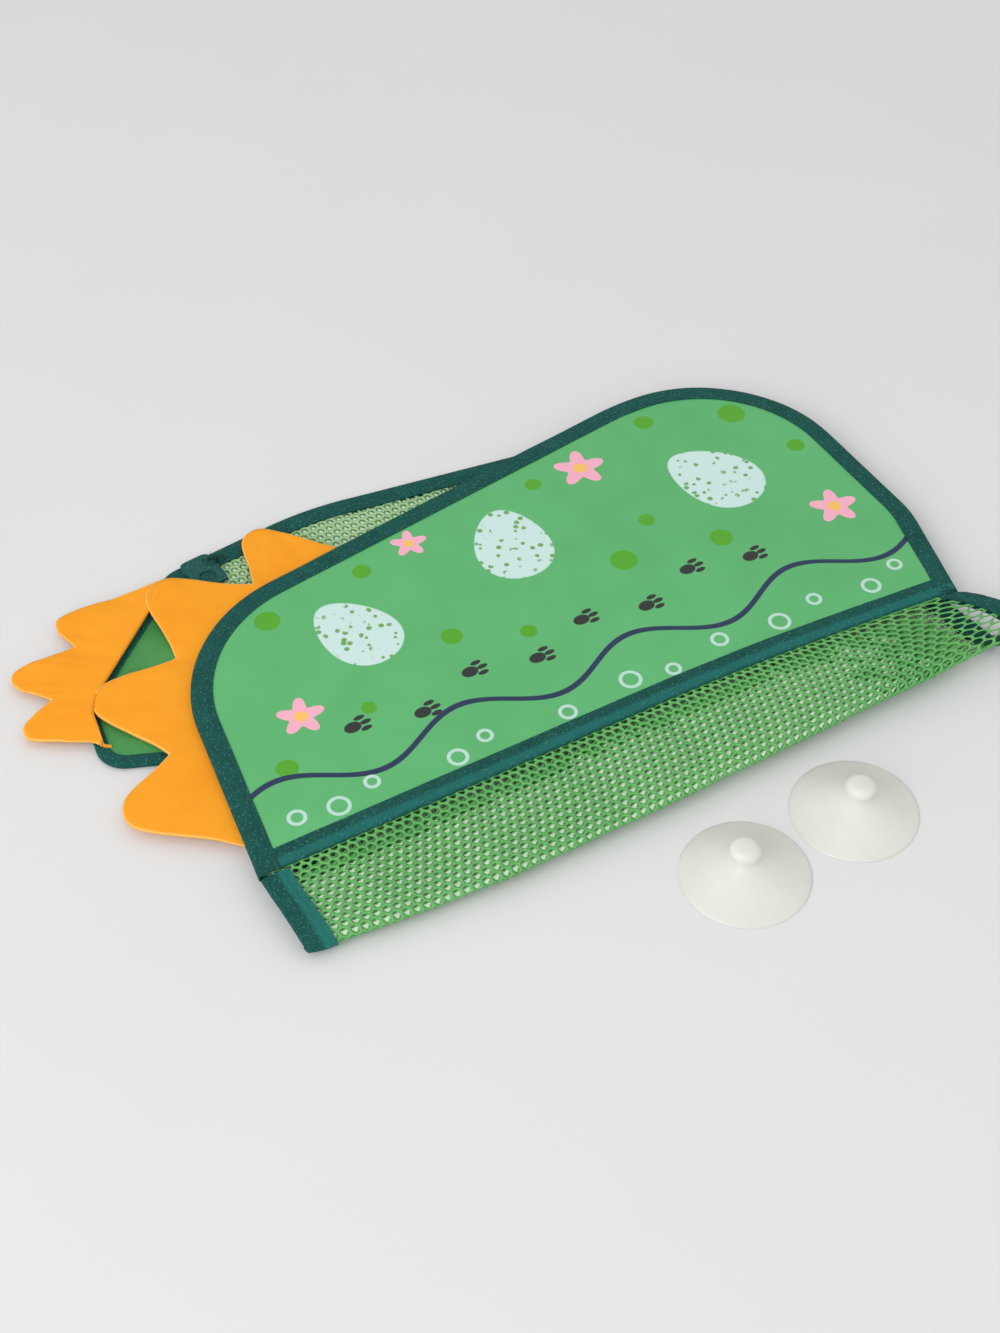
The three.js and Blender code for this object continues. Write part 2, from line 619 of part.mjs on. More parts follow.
add('left_gusset_binding', leftGussetBinding(), TAPE_GREEN, 0.7);
add('side_frill', sideFrill(), FRILL_ORANGE, 0.85);
add('right_gusset', gussetCloth(rightGussetOutline), GUSSET_GREEN, 0.6);
add('right_gusset_binding', rightGussetBinding(), TAPE_GREEN, 0.7);
add('left_cup_tab', leftTab(), TAPE_GREEN, 0.7);
add('right_cup_tab', rightTab(), TAPE_GREEN, 0.7);
Object.entries(CUP_PLACES).forEach(([name, place]) => add(name, suctionCup(place), CUP_MILK, 0.35));

const span = new THREE.Box3().setFromObject(organizer);
const middle = span.getCenter(new THREE.Vector3());
organizer.position.set(-middle.x, -middle.y, -span.min.z);

export default organizer;
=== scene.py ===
# %% [markdown]
# # A bath toy organizer, folded flat
#
# The real thing is a sewn pocket for bath toys: a stiff printed front, a netting back, side cloth that folds
# away between them and a roll of netting along the bottom. Two suction cups hold it to a wall. The packed
# solids say where each piece is and how it moves. This lesson gives each of them its cloth, netting, felt, tape
# or vinyl, so the first step loads the solids and can read the box of any of them.

import bpy
import numpy as np
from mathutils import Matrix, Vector


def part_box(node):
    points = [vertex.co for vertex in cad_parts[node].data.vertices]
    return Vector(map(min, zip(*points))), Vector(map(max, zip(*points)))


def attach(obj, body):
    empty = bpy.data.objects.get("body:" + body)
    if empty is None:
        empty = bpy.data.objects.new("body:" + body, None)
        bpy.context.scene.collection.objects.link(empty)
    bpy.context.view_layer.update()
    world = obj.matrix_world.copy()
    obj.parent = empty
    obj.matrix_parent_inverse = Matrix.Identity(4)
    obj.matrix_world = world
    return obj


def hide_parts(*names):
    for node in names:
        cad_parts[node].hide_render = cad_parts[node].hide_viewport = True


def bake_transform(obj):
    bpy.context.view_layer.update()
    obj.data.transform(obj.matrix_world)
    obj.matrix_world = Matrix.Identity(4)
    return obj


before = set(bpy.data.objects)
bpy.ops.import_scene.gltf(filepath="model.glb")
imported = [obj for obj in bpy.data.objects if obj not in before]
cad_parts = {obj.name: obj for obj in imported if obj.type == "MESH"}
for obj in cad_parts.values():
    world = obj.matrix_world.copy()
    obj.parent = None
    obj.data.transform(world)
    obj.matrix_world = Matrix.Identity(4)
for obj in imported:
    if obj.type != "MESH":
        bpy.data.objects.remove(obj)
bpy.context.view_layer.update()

# %% [markdown]
# ## One ruler for all pieces
#
# A sewer measures this pocket from the left end of its bottom fold. Every size below is in millimetres from
# there, with x along the fold, y up the front and z off the table. The hem's solid tells where that corner lies
# in the frame, so the pieces follow the solids if those are moved.

# %% Place of the fold's left end
HEM_Y = 38.0
FRONT_LEFT = -5.0
hem_low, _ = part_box("hem_binding")
fold_corner = np.array([hem_low.x - FRONT_LEFT / 1000, hem_low.y - HEM_Y / 1000, 0.0])


def in_frame(points):
    """Millimetres from the fold's left end become metres in the frame: corner + points / 1000."""
    return fold_corner + np.asarray(points, dtype=float) / 1000


print("fold's left end, mm:", np.round(fold_corner * 1000, 2))

# %% [markdown]
# ## Lines
#
# A pattern for cloth is drawn with straight runs and round corners. The outlines here are such lines, given by
# their corners and radii, and then cut into points at even distances so that tapes and sheets can follow them.
# A spline could pass through many points instead, but corners and radii are how the edges are really cut.


# %% Straight runs, round corners, even points
def unit(vectors):
    """Each vector divided by its own length."""
    return vectors / np.linalg.norm(vectors, axis=-1, keepdims=True)


def even(points, count):
    """The same line cut into points at equal distances along it."""
    steps = np.linalg.norm(np.diff(points, axis=0), axis=1)
    length = np.concatenate([[0.0], np.cumsum(steps)])
    at = np.linspace(0.0, length[-1], count)
    return np.stack([np.interp(at, length, axis) for axis in points.T], axis=1)


def rounded(corners, count):
    """A line through corners (x, y, radius): an arc of that radius touches both runs that meet at a corner."""
    corners = np.array([list(c) + [0.0] * (3 - len(c)) for c in corners])
    line = [corners[:1, :2]]
    for before, corner, after in zip(corners, corners[1:], corners[2:]):
        back, ahead = unit(before[:2] - corner[:2]), unit(after[:2] - corner[:2])
        half = np.arccos(np.clip(back @ ahead, -1.0, 1.0)) / 2
        centre = corner[:2] + unit(back + ahead) * corner[2] / np.sin(half)
        start = back * corner[2] / np.tan(half) + corner[:2] - centre
        stop = ahead * corner[2] / np.tan(half) + corner[:2] - centre
        turn = np.arctan2(start[0] * stop[1] - start[1] * stop[0], start @ stop)
        angle = np.arctan2(start[1], start[0]) + turn * np.linspace(0.0, 1.0, 40)
        line.append(centre + corner[2] * np.stack([np.cos(angle), np.sin(angle)], axis=1))
    line.append(corners[-1:, :2])
    return even(np.vstack(line), count)


def inward(line):
    """Unit vectors to the right of a line, which is its inside where it runs clockwise."""
    along = unit(np.gradient(line, axis=0))
    return np.stack([along[:, 1], -along[:, 0]], axis=1)


def length_of(line):
    """Sum of the distances between neighbouring points."""
    return np.linalg.norm(np.diff(line, axis=0), axis=1).sum()


quarter = rounded([(0, 0), (0, 10, 10), (10, 10)], 60)
print("a quarter turn of radius 10 mm measures", round(length_of(quarter), 1), "mm")

# %% The front's edge and its hem
HEM_SINK, SINK_FROM, SINK_RUN = 8.5, 200.0, 144.0
FRONT_RIGHT = 345.5


def hem_y(x):
    """The hem runs level and sinks on its right: HEM_Y - HEM_SINK * (way past SINK_FROM / SINK_RUN) ** 1.6."""
    return HEM_Y - HEM_SINK * np.clip((x - SINK_FROM) / SINK_RUN, 0.0, None) ** 1.6


FRONT_EDGE = [
    (-5.1, 37),
    (14, 183, 78),
    (276, 221.5, 120),
    (360, 221.5, 72),
    (360.5, 84, 60),
    (FRONT_RIGHT, hem_y(FRONT_RIGHT)),
]
front_line = rounded(FRONT_EDGE, 420)
hem_x = np.linspace(344.5, 5.4, 220)
hem_line = np.column_stack([hem_x, hem_y(hem_x)])
print("front's edge, mm:", round(length_of(front_line)))

# %% [markdown]
# ## From numbers to a mesh
#
# Each surface is a grid of points: rows along one direction, columns along the other, and a face between four
# neighbours. A folded tape or a cup closes on itself in one direction. Blender's own primitives could be bent
# into place, but a grid keeps the sewing lines where the formula puts them and gives a clean UV map in metres.


# %% Grids of faces
def grid_faces(rows, columns, close_rows=False, close_columns=False):
    """Corner numbers of the faces between neighbouring grid points; a closed direction joins last to first."""
    i, j = np.meshgrid(
        np.arange(rows if close_rows else rows - 1),
        np.arange(columns if close_columns else columns - 1),
        indexing="ij",
    )
    i, j = i.ravel(), j.ravel()
    corners = [(i, j), (i, j + 1), (i + 1, j + 1), (i + 1, j)]
    return np.stack([(a % rows) * columns + b % columns for a, b in corners], axis=1)


def piece(name, points, faces, caps=(), uv=None, smooth=40):
    """A mesh object at the origin from points in mm, faces by corner number and optional cap polygons."""
    mesh = bpy.data.meshes.new(name)
    mesh.from_pydata(in_frame(points).tolist(), [], faces.tolist() + [list(c) for c in caps])
    if uv is not None:
        layer = mesh.uv_layers.new(name="cloth")
        corner = np.zeros(len(mesh.loops), dtype=np.int32)
        mesh.loops.foreach_get("vertex_index", corner)
        layer.data.foreach_set("uv", (np.asarray(uv, dtype=float)[corner] / 1000).ravel())
    mesh.shade_smooth()
    mesh.set_sharp_from_angle(angle=np.radians(smooth))
    mesh.update()
    made = bpy.data.objects.new(name, mesh)
    bpy.context.scene.collection.objects.link(made)
    return made


def coat(made, material):
    """Gives a piece its finish."""
    made.data.materials.append(material)
    return made


print("grid of 3 by 4 points has", len(grid_faces(3, 4)), "faces")


# %% Sheets and tubes
def spread(rows, columns):
    """UV of a grid in mm: distance along the rows and distance along the columns."""
    u, v = np.meshgrid(rows, columns, indexing="ij")
    return np.stack([u.ravel(), v.ravel()], axis=1)


def sheet(name, grid, thickness, uv=None, flip=False):
    """An open surface from a grid; a Solidify modifier then gives it its thickness under the drawn face."""
    rows, columns = grid.shape[:2]
    faces = grid_faces(rows, columns)
    made = piece(name, grid.reshape(-1, 3), faces[:, ::-1] if flip else faces, uv=uv)
    solid = made.modifiers.new("thickness", "SOLIDIFY")
    solid.thickness = thickness / 1000
    solid.offset = -1.0
    return made


def tube(name, grid, uv=None, flip=False, smooth=40):
    """A closed section carried along a path: columns close on themselves and both ends are capped."""
    rows, columns = grid.shape[:2]
    faces = grid_faces(rows, columns, close_columns=True)
    start, stop = np.arange(columns)[::-1], (rows - 1) * columns + np.arange(columns)
    if flip:
        faces, start, stop = faces[:, ::-1], start[::-1], stop[::-1]
    return piece(name, grid.reshape(-1, 3), faces, caps=(start.tolist(), stop.tolist()), uv=uv, smooth=smooth)


print("UV places of a grid of 2 by 3 points:", len(spread([0, 1], [0, 1, 2])))


# %% Ruled grids, heights and slight wanders
def ruled(line_a, line_b, count):
    """Points on straight lines from each point of one line to its partner on the other."""
    share = np.linspace(0.0, 1.0, count)[None, :, None]
    return line_a[:, None] * (1 - share) + line_b[:, None] * share


def lifted(line, z):
    """A flat line given heights, one for all or one for each point."""
    return np.column_stack([line, np.broadcast_to(z, len(line))])


def raised(flat, z):
    """A flat grid given heights, one for all or one for each point."""
    return np.concatenate([flat, np.broadcast_to(z, flat.shape[:2])[..., None]], axis=2)


def ripple(s, seed, longest=90.0):
    """A smooth wander between about -1 and 1: four sines of falling wavelength with fixed phases."""
    phase = np.random.default_rng(seed).uniform(0, 2 * np.pi, 4)
    waves = [np.sin(2 * np.pi * s * k / longest + p) / k for k, p in zip((1.0, 1.7, 2.9, 4.3), phase)]
    return sum(waves) / 1.6


print("wander over 30 mm:", np.round(ripple(np.arange(0.0, 40.0, 10.0), 1), 2))

# %% [markdown]
# ## Shader sums
#
# A finish on cloth is arithmetic: a stripe is a sine, a printed spot is a distance with a limit. Blender does
# that arithmetic with Math nodes, which are slow to read one by one. The small class below lets a finish be
# written as a Python expression, and each operator adds its node. Every other node comes from its one method.


# %% A socket that can be added and multiplied
class Wire:
    """A socket of one material's node tree that takes part in sums."""

    def __init__(self, tree, socket=None):
        self.tree, self.socket = tree, socket

    def node(self, kind, settings=None, values=None, out=0):
        """Adds a node: its settings first, then the value or link of each socket. Gives the chosen output."""
        made = self.tree.nodes.new("ShaderNode" + kind)
        for key, value in (settings or {}).items():
            setattr(made, key, value)
        for key, value in (values or {}).items():
            if isinstance(value, Wire):
                self.tree.links.new(value.socket, made.inputs[key])
            else:
                made.inputs[key].default_value = value
        return Wire(self.tree, made.outputs[out])

    def math(self, operation, *others, clamp=False):
        """One Math node with this wire as its first value."""
        values = {k: v for k, v in enumerate((self,) + others)}
        return self.node("Math", {"operation": operation, "use_clamp": clamp}, values)

    def __add__(self, other):
        return self.math("ADD", other)

    def __sub__(self, other):
        return self.math("SUBTRACT", other)

    def __mul__(self, other):
        return self.math("MULTIPLY", other)

    def __truediv__(self, other):
        return self.math("DIVIDE", other)

    def __pow__(self, other):
        return self.math("POWER", other)

    def __rsub__(self, other):
        return self.node("Math", {"operation": "SUBTRACT"}, {0: other, 1: self})

    __radd__, __rmul__ = __add__, __mul__

    def sin(self):
        return self.math("SINE")

    def size(self):
        return self.math("ABSOLUTE")

    def step(self, low, high):
        """0 below low, 1 above high and a smooth rise between; a low above the high turns it round."""
        values = {"Value": self, "From Min": low, "From Max": high}
        return self.node("MapRange", {"interpolation_type": "SMOOTHSTEP"}, values)

    def mix(self, first, second):
        """Colour that goes from the first to the second as this wire goes from 0 to 1."""
        return self.node("Mix", {"data_type": "RGBA"}, {0: self, 6: first, 7: second}, out=2)

    def split(self):
        """The three parts of a vector, each as a wire."""
        first = self.node("SeparateXYZ", None, {0: self})
        return [Wire(self.tree, socket) for socket in first.socket.node.outputs]


print("a wire can:", [name for name in vars(Wire) if not name.startswith("_")])


# %% Colours, finishes and bumps
def paint(red, green, blue):
    """A colour as a screen shows it, 0 to 255 for each part, made linear for the shader."""
    share = np.array([red, green, blue]) / 255
    linear = np.where(share <= 0.04045, share / 12.92, ((share + 0.055) / 1.055) ** 2.4)
    return (*linear.tolist(), 1.0)


def finish(name, **fixed):
    """A new material: its Principled shader with fixed values on its own sockets, and a wire to start from."""
    made = bpy.data.materials.new(name)
    made.use_nodes = True
    shader = made.node_tree.nodes["Principled BSDF"]
    for socket, value in fixed.items():
        shader.inputs[socket.replace("_", " ")].default_value = value
    return made, shader, Wire(made.node_tree)


def feed(shader, **wires):
    """Links wires to the shader's sockets by name."""
    for socket, wire in wires.items():
        wire.tree.links.new(wire.socket, shader.inputs[socket.replace("_", " ")])


def relief(height, strength, millimetres):
    """Bump from a height between 0 and 1 that stands for so many millimetres."""
    return height.node("Bump", None, {"Height": height, "Strength": strength, "Distance": millimetres / 1000})


print("middle grey, linear:", np.round(paint(128, 128, 128)[:3], 3))


# %% Places on a piece
def object_place(start):
    """The piece's own coordinates in metres, as one vector."""
    return start.node("TexCoord", out="Object")


def object_mm(place):
    """Such a place as x and y in mm from the fold's left end."""
    x, y, _ = place.split()
    return (x - float(fold_corner[0])) * 1000.0, (y - float(fold_corner[1])) * 1000.0


def cloth_mm(start):
    """The piece's UV map: mm along the cloth, mm across it, and the map itself as a vector."""
    place = start.node("UVMap", {"uv_map": "cloth"})
    along, across, _ = place.split()
    return along * 1000.0, across * 1000.0, place


def noise(place, per_metre, detail=3.0, roughness=0.55):
    """Noise between 0 and 1 with so many lumps in a metre."""
    return place.node(
        "TexNoise", None, {"Vector": place, "Scale": per_metre, "Detail": detail, "Roughness": roughness}
    )


print("patterns start", np.round(fold_corner[:2] * 1000, 1), "mm from the frame's middle")

# %% [markdown]
# ## Binding tape
#
# Every cut edge of the pocket is wrapped in a dark green woven tape. The weave shows as small speckles, and some
# tapes are paler in a band at a set distance in from their edge. Ribs across the tape are a sine along its UV map,
# so they turn with every bend; a pattern on plain coordinates would run straight across the corners.


# %% Tape finish
BAND_SOFT = 1.2


def tape_finish(name, deep, pale, band=None, band_from=0.0, band_to=0.0):
    """Woven tape: two greens mixed by noise and ribs, with an optional paler band between two distances."""
    made, shader, start = finish(name, Roughness=0.8, Specular_IOR_Level=0.2)
    along, across, place = cloth_mm(start)
    rib = (along * 7.4).sin() * (across * 6.6).sin() * 0.5 + 0.5
    fleck = noise(place, 1400.0, 2.0)
    cloud = noise(place, 90.0, 3.0)
    shade = (fleck * 0.7 + cloud * 0.7 + rib * 0.25 - 0.35).math("MAXIMUM", 0.0, clamp=True)
    colour = shade.mix(deep, pale)
    if band is not None:
        past_start = across.step(band_from - BAND_SOFT, band_from + BAND_SOFT)
        before_stop = across.step(band_to + BAND_SOFT, band_to - BAND_SOFT)
        colour = (past_start * before_stop * (cloud * 0.5 + 0.6)).mix(colour, band)
    speck = noise(place, 900.0, 1.0).step(0.58, 0.7)
    colour = (speck * 0.6).mix(colour, paint(70, 136, 126))
    feed(shader, Base_Color=colour, Normal=relief(rib * 0.6 + fleck * 0.4, 0.5, 0.25))
    return made


TAPE_DEEP, TAPE_PALE = paint(4, 54, 49), paint(28, 100, 91)
tape_green = tape_finish("binding_tape", TAPE_DEEP, TAPE_PALE)
print("finish:", tape_green.name)

# %% [markdown]
# ## Folded tape as a shape
#
# A tape wraps an edge with a lower leg, a round bend and an upper leg, one ply thick. Its section is drawn once
# and carried along the edge. The upper leg is slightly crowned and dips along the line of stitches, where the
# thread pulls it down. A flat strip would look like paint on the edge.


# %% Section of a folded tape
TAPE, PLY = 10.0, 0.7
LEG_POINTS, BEND_POINTS = 16, 13
STITCH_IN, DIP_DEEP, DIP_WIDE = 1.9, 0.3, 0.55


def folded(width, low, high, crown=0.35):
    """Closed section (in from the edge, height): lower leg, half-round bend, upper leg, and back one ply inside."""
    half, middle = (high - low) / 2, (high + low) / 2
    legs = np.linspace(width, half, LEG_POINTS)
    bend = np.linspace(-np.pi / 2, -1.5 * np.pi, BEND_POINTS)[1:-1]
    dip = DIP_DEEP * np.exp(-(((legs - width + STITCH_IN) / DIP_WIDE) ** 2))
    rise = crown * np.sin(np.pi * (legs - half) / (width - half)) - dip
    outer = [
        np.column_stack([legs, np.full(LEG_POINTS, low)]),
        np.column_stack([half + half * np.cos(bend), middle + half * np.sin(bend)]),
        np.column_stack([legs[::-1], high + rise[::-1]]),
    ]
    core = half - PLY
    inner = [
        np.column_stack([legs, high - PLY + rise]),
        np.column_stack([half + core * np.cos(bend[::-1]), middle + core * np.sin(bend[::-1])]),
        np.column_stack([legs[::-1], np.full(LEG_POINTS, low + PLY)]),
    ]
    return np.vstack(outer + inner)


print("tape section has", len(folded(TAPE, 7.2, 11.1)), "points")

# %% Tapes of the front and its hem
TRIM_ROWS = 8
HINGE_TRIM = HEM_Y - 0.4
UP = np.array([0.0, 0.0, 1.0])


def carried(path, side, up, section):
    """Section carried along a path: point = path + side * across + up * height."""
    return path[:, None] + side[:, None] * section[None, :, :1] + up[:, None] * section[None, :, 1:]


def edge_tape(name, line, width, low, high, seed, wander=0.12, start_level=None):
    """A folded tape along a flat clockwise line, with a slight wander in height so that it is not ruler straight.

    A start level trims its first end: the end's points move to that y, and the next rows share the move.
    """
    section = folded(width, low, high)
    along = np.linspace(0, length_of(line), len(line))
    path = lifted(line, wander * ripple(along, seed))
    side, up = lifted(inward(line), 0.0), np.broadcast_to(UP, path.shape)
    surface = carried(path, side, up, section)
    if start_level is not None:
        ease = np.clip(1 - np.arange(len(line)) / TRIM_ROWS, 0, 1)[:, None]
        surface[..., 1] += ease * (start_level - surface[0, :, 1])
    return tube(name, surface, uv=spread(along, section[:, 0]))


hem_green = tape_finish("hem_tape", TAPE_DEEP, TAPE_PALE, band=paint(32, 107, 103), band_from=0.6, band_to=4.6)
front_tape = coat(edge_tape("front_tape", front_line, TAPE, 7.2, 11.1, seed=1, start_level=HINGE_TRIM), tape_green)
hem_tape = coat(edge_tape("hem_tape", hem_line, TAPE, 7.3, 11.0, seed=2), hem_green)
print("tapes:", front_tape.name, hem_tape.name)

# %% [markdown]
# ## Stitches
#
# One line of thread holds each tape. A stitch is a small sewn-in capsule, 2.5 mm long, that stands a little
# proud of the tape. A bump texture could draw the thread, but it would go flat where a tape is seen from the
# side. So all stitches of a line are one mesh: the same few faces, moved to every place at once.

# %% Thread finish and stitch lines
thread_green, thread_shader, thread_start = finish("thread", Roughness=0.6)
thread_tint = noise(object_place(thread_start), 900.0)
feed(thread_shader, Base_Color=thread_tint.mix(paint(6, 56, 50), paint(32, 94, 84)))
ROUND_OFF = np.array([0.35, 0.85, 1.0, 0.85, 0.35])
STITCH_SIDES = 6


def small_tubes(name, points, flip):
    """Many short capped tubes in one mesh, from points by tube, ring and corner."""
    count, rings, corners = points.shape[:3]
    first = np.arange(count)[:, None, None] * rings * corners
    block = grid_faces(rings, corners, close_columns=True)
    ends = np.array([np.arange(corners)[::-1], (rings - 1) * corners + np.arange(corners)])
    if flip:
        block, ends = block[:, ::-1], ends[:, ::-1]
    caps = (first + ends).reshape(-1, corners).tolist()
    return coat(piece(name, points.reshape(-1, 3), (first + block).reshape(-1, 4), caps=caps), thread_green)


def stitches(name, path, pitch=3.3, long=2.5, thick=0.55):
    """Capsules along a path: each ring is moved along the thread and shrinks towards both ends."""
    middles = even(path, max(3, int(length_of(path) / pitch)))
    along = unit(np.gradient(middles, axis=0))
    up = np.broadcast_to(UP, middles.shape)
    side = unit(np.cross(along, up))
    t = np.linspace(-1, 1, len(ROUND_OFF))
    turn = np.linspace(0, 2 * np.pi, STITCH_SIDES, endpoint=False)
    ring = np.stack([np.cos(turn), np.sin(turn)], axis=1) * thick / 2
    points = (
        middles[:, None, None]
        + along[:, None, None] * (t * long / 2)[None, :, None, None]
        + side[:, None, None] * (ROUND_OFF[:, None] * ring[None, :, 0])[None, :, :, None]
        + up[:, None, None] * (ROUND_OFF[:, None] * ring[None, :, 1])[None, :, :, None]
    )
    return small_tubes(name, points, flip=True)


def edge_stitches(name, line, width, z):
    """A line of stitches on a flat edge's tape, in from the edge by the tape's width less the stitch's inset."""
    return stitches(name, lifted(line + inward(line) * (width - STITCH_IN), z))


front_stitches = edge_stitches("front_stitches", front_line[2:], TAPE, 11.0)
hem_stitches = edge_stitches("hem_stitches", hem_line[2:-2], TAPE, 10.9)
print("faces of the front's stitches:", len(front_stitches.data.polygons))

# %% [markdown]
# ## The printed front
#
# The front is a smooth printed polyester over a thin foam board. It is flat, with a soft swell between the
# tapes. The print is the organizer's own generic one: pale speckled eggs, blossoms, a trail of footprints, olive
# spots, pale rings and a wavy line. Each motif is a distance written out in millimetres, so its edge stays sharp
# at any size, which a painted picture would not.

# %% Distances for motifs
print_cloth, print_shader, print_start = finish("print_cloth", Roughness=0.5)
print_place = object_place(print_start)
px, py = object_mm(print_place)


def far(x, y):
    """Distance in mm from a place on the print."""
    return ((px - x) ** 2.0 + (py - y) ** 2.0).math("SQRT")


def oval(dx, dy, long, wide):
    """Below 1 inside an oval: both distances over their half sizes, squared, added and rooted."""
    return ((dx / long) ** 2.0 + (dy / wide) ** 2.0).math("SQRT")


def egg(x, y, wide, tall, tilt):
    """Below 1 inside a tilted egg: an ellipse whose width shrinks towards its top."""
    c, s = float(np.cos(tilt)), float(np.sin(tilt))
    along, across = (py - y) * c - (px - x) * s, (px - x) * c + (py - y) * s
    slim = across / (wide - along * (0.22 * wide / tall))
    return (slim * slim + (along / tall) * (along / tall)).math("SQRT")


def blossom(x, y, radius):
    """Below 1 inside a five-petal flower: distance over a radius that swings five times round."""
    dx, dy = px - x, py - y
    turn = dy.math("ARCTAN2", dx)
    reach = (turn * 5.0).math("COSINE") * (0.24 * radius) + 0.76 * radius
    return (dx * dx + dy * dy).math("SQRT") / reach


def inside(distance, soft=0.02):
    """1 where a distance is below 1, with a narrow soft edge."""
    return distance.step(1.0 + soft, 1.0 - soft)


def any_of(masks):
    """The largest of several masks."""
    total = masks[0]
    for mask in masks[1:]:
        total = total.math("MAXIMUM", mask)
    return total


print("nodes for the print's place:", len(print_cloth.node_tree.nodes))

# %% Eggs, blossoms, spots, rings and the wave
EGGS = [(92, 142, 17, 23, 0.35), (182, 158, 18, 24, -0.2), (292, 150, 19, 25, 0.5)]
BLOSSOMS = [(48, 108, 11), (238, 188, 13), (330, 104, 12), (140, 182, 9)]
HEART = 0.27
SPOTS = [
    (60, 168, 6), (128, 118, 5), (222, 122, 6.5), (246, 140, 4), (326, 186, 7), (212, 189, 4), (30, 84, 5),
    (160, 104, 4), (340, 150, 4.5), (112, 176, 4.5), (270, 112, 5.5), (284, 202, 5), (76, 98, 3.5),
]
RINGS = [
    (22, 58, 3.5), (40, 55, 4.5), (58, 60, 3), (96, 54, 4), (112, 59, 3), (150, 53, 3.5), (184, 56, 4.5),
    (204, 52, 3), (232, 57, 3.5), (262, 53, 4.5), (284, 57, 3), (312, 51, 4), (330, 57, 3),
]
WAVE_Y, WAVE_LONG, WAVE_HIGH = 72.0, 88.0, 8.0
eggs = any_of([inside(egg(*e)) for e in EGGS])
petals = any_of([inside(blossom(*b)) for b in BLOSSOMS])
hearts = any_of([inside(far(x, y) / (HEART * r)) for x, y, r in BLOSSOMS])
spots = any_of([inside(far(x, y) / r) for x, y, r in SPOTS])
speckle = print_place.node("TexVoronoi", None, {"Vector": print_place, "Scale": 230.0}, out="Distance")
speckles = speckle.step(0.34, 0.28)
wave = (py - WAVE_Y - (px * (2 * np.pi / WAVE_LONG)).sin() * WAVE_HIGH).size().step(1.7, 1.3)
rings = any_of([(far(x, y) - r).size().step(0.95, 0.65) for x, y, r in RINGS])
print("motifs:", len(EGGS), "eggs,", len(BLOSSOMS), "blossoms,", len(SPOTS), "spots,", len(RINGS), "rings")

# %% Footprint trail
TRAIL_X, TRAIL_Y, TRAIL_TILT, TRAIL_STEP = 20.0, 84.0, 0.06, 30.0
TRAIL_FROM, TRAIL_TO, TRAIL_WIDE = 30.0, 270.0, 9.0
TOES = [(5.0, 3.4), (6.4, 0.0), (5.0, -3.4)]
tilt_cos, tilt_sin = float(np.cos(TRAIL_TILT)), float(np.sin(TRAIL_TILT))
trail_x = (px - TRAIL_X) * tilt_cos + (py - TRAIL_Y) * tilt_sin
trail_y = (py - TRAIL_Y) * tilt_cos - (px - TRAIL_X) * tilt_sin
step_count = (trail_x / TRAIL_STEP).math("FLOOR")
foot_x = trail_x - (step_count + 0.5) * TRAIL_STEP
foot_y = trail_y - (step_count.math("MODULO", 2.0) * TRAIL_WIDE - TRAIL_WIDE / 2)
pad = inside(oval(foot_x, foot_y, 4.0, 3.0), 0.06)
toes = any_of([inside(oval(foot_x - x, foot_y - y, 2.6, 1.25), 0.08) for x, y in TOES])
on_trail = trail_x.step(TRAIL_FROM - 0.1, TRAIL_FROM + 0.1) * trail_x.step(TRAIL_TO + 0.1, TRAIL_TO - 0.1)
prints = any_of([pad, toes]) * on_trail
print("footprints:", round((TRAIL_TO - TRAIL_FROM) / TRAIL_STEP))

# %% The whole print
WEAVE = 9.0
shell_pale = paint(206, 234, 229)
weave = ((px * WEAVE).sin() * 0.5 + 0.5) * ((py * WEAVE).sin() * 0.5 + 0.5)
tone = noise(print_place, 34.0, 2.0)
ground = tone.mix(paint(82, 173, 101), paint(98, 189, 119))
ground = spots.mix(ground, paint(80, 168, 26))
ground = wave.mix(ground, paint(20, 46, 80))
ground = (rings * 0.8).mix(ground, shell_pale)
ground = petals.mix(ground, paint(250, 178, 199))
ground = hearts.mix(ground, paint(253, 196, 96))
shell_tone = (speckles * noise(print_place, 120.0).step(0.42, 0.5)).mix(shell_pale, paint(110, 172, 92))
ground = eggs.mix(ground, shell_tone)
ground = prints.mix(ground, paint(36, 40, 38))
feed(print_shader, Base_Color=ground, Roughness=tone * 0.12 + 0.46, Normal=relief(weave, 0.25, 0.12))
print("print nodes:", len(print_cloth.node_tree.nodes))

# %% [markdown]
# ## The front's layers
#
# Print and lining are two sheets that share the front's outline; both end inside the tape. A sheet is ruled
# between the hem and the rest of the edge, so its rows follow the outline. The foam board between them stays
# the solid that the frame brings, because nobody sees more of it than its edge.


# %% Print and lining
IN_TAPE = 4.0
SHEET_ROWS = 60
near_front = front_line + inward(front_line) * IN_TAPE


def front_swell(x, y):
    """Height of the print above the board: a slow wander, largest in the middle of the front."""
    return 0.22 * ripple(x + 0.6 * y, 3, 150.0) + 0.12 * ripple(y - 0.3 * x, 4, 70.0)


def front_sheet(name, z, thickness, swell, flip):
    """A sheet ruled between the hem and the rest of the front's edge, both drawn inside the tape."""
    edge = near_front.copy()
    across = np.linspace(edge[0, 0] + 2, edge[-1, 0] - 2, len(edge))
    hem = np.column_stack([across, hem_y(across) + 3.0])
    edge[:, 1] = np.maximum(edge[:, 1], hem_y(edge[:, 0]) + IN_TAPE)
    flat = ruled(hem, edge, SHEET_ROWS)
    fade = np.sin(np.pi * np.linspace(0, 1, SHEET_ROWS))[None, :]
    height = z + swell * fade * (front_swell(flat[..., 0], flat[..., 1]) + 0.25)
    return sheet(name, raised(flat, height), thickness, flip=flip)


front_print = coat(front_sheet("front_print", 10.25, 0.4, 1.0, flip=False), print_cloth)
front_back = front_sheet("front_back", 8.0, 0.35, 0.0, flip=True)
print("front sheets:", front_print.name, front_back.name)


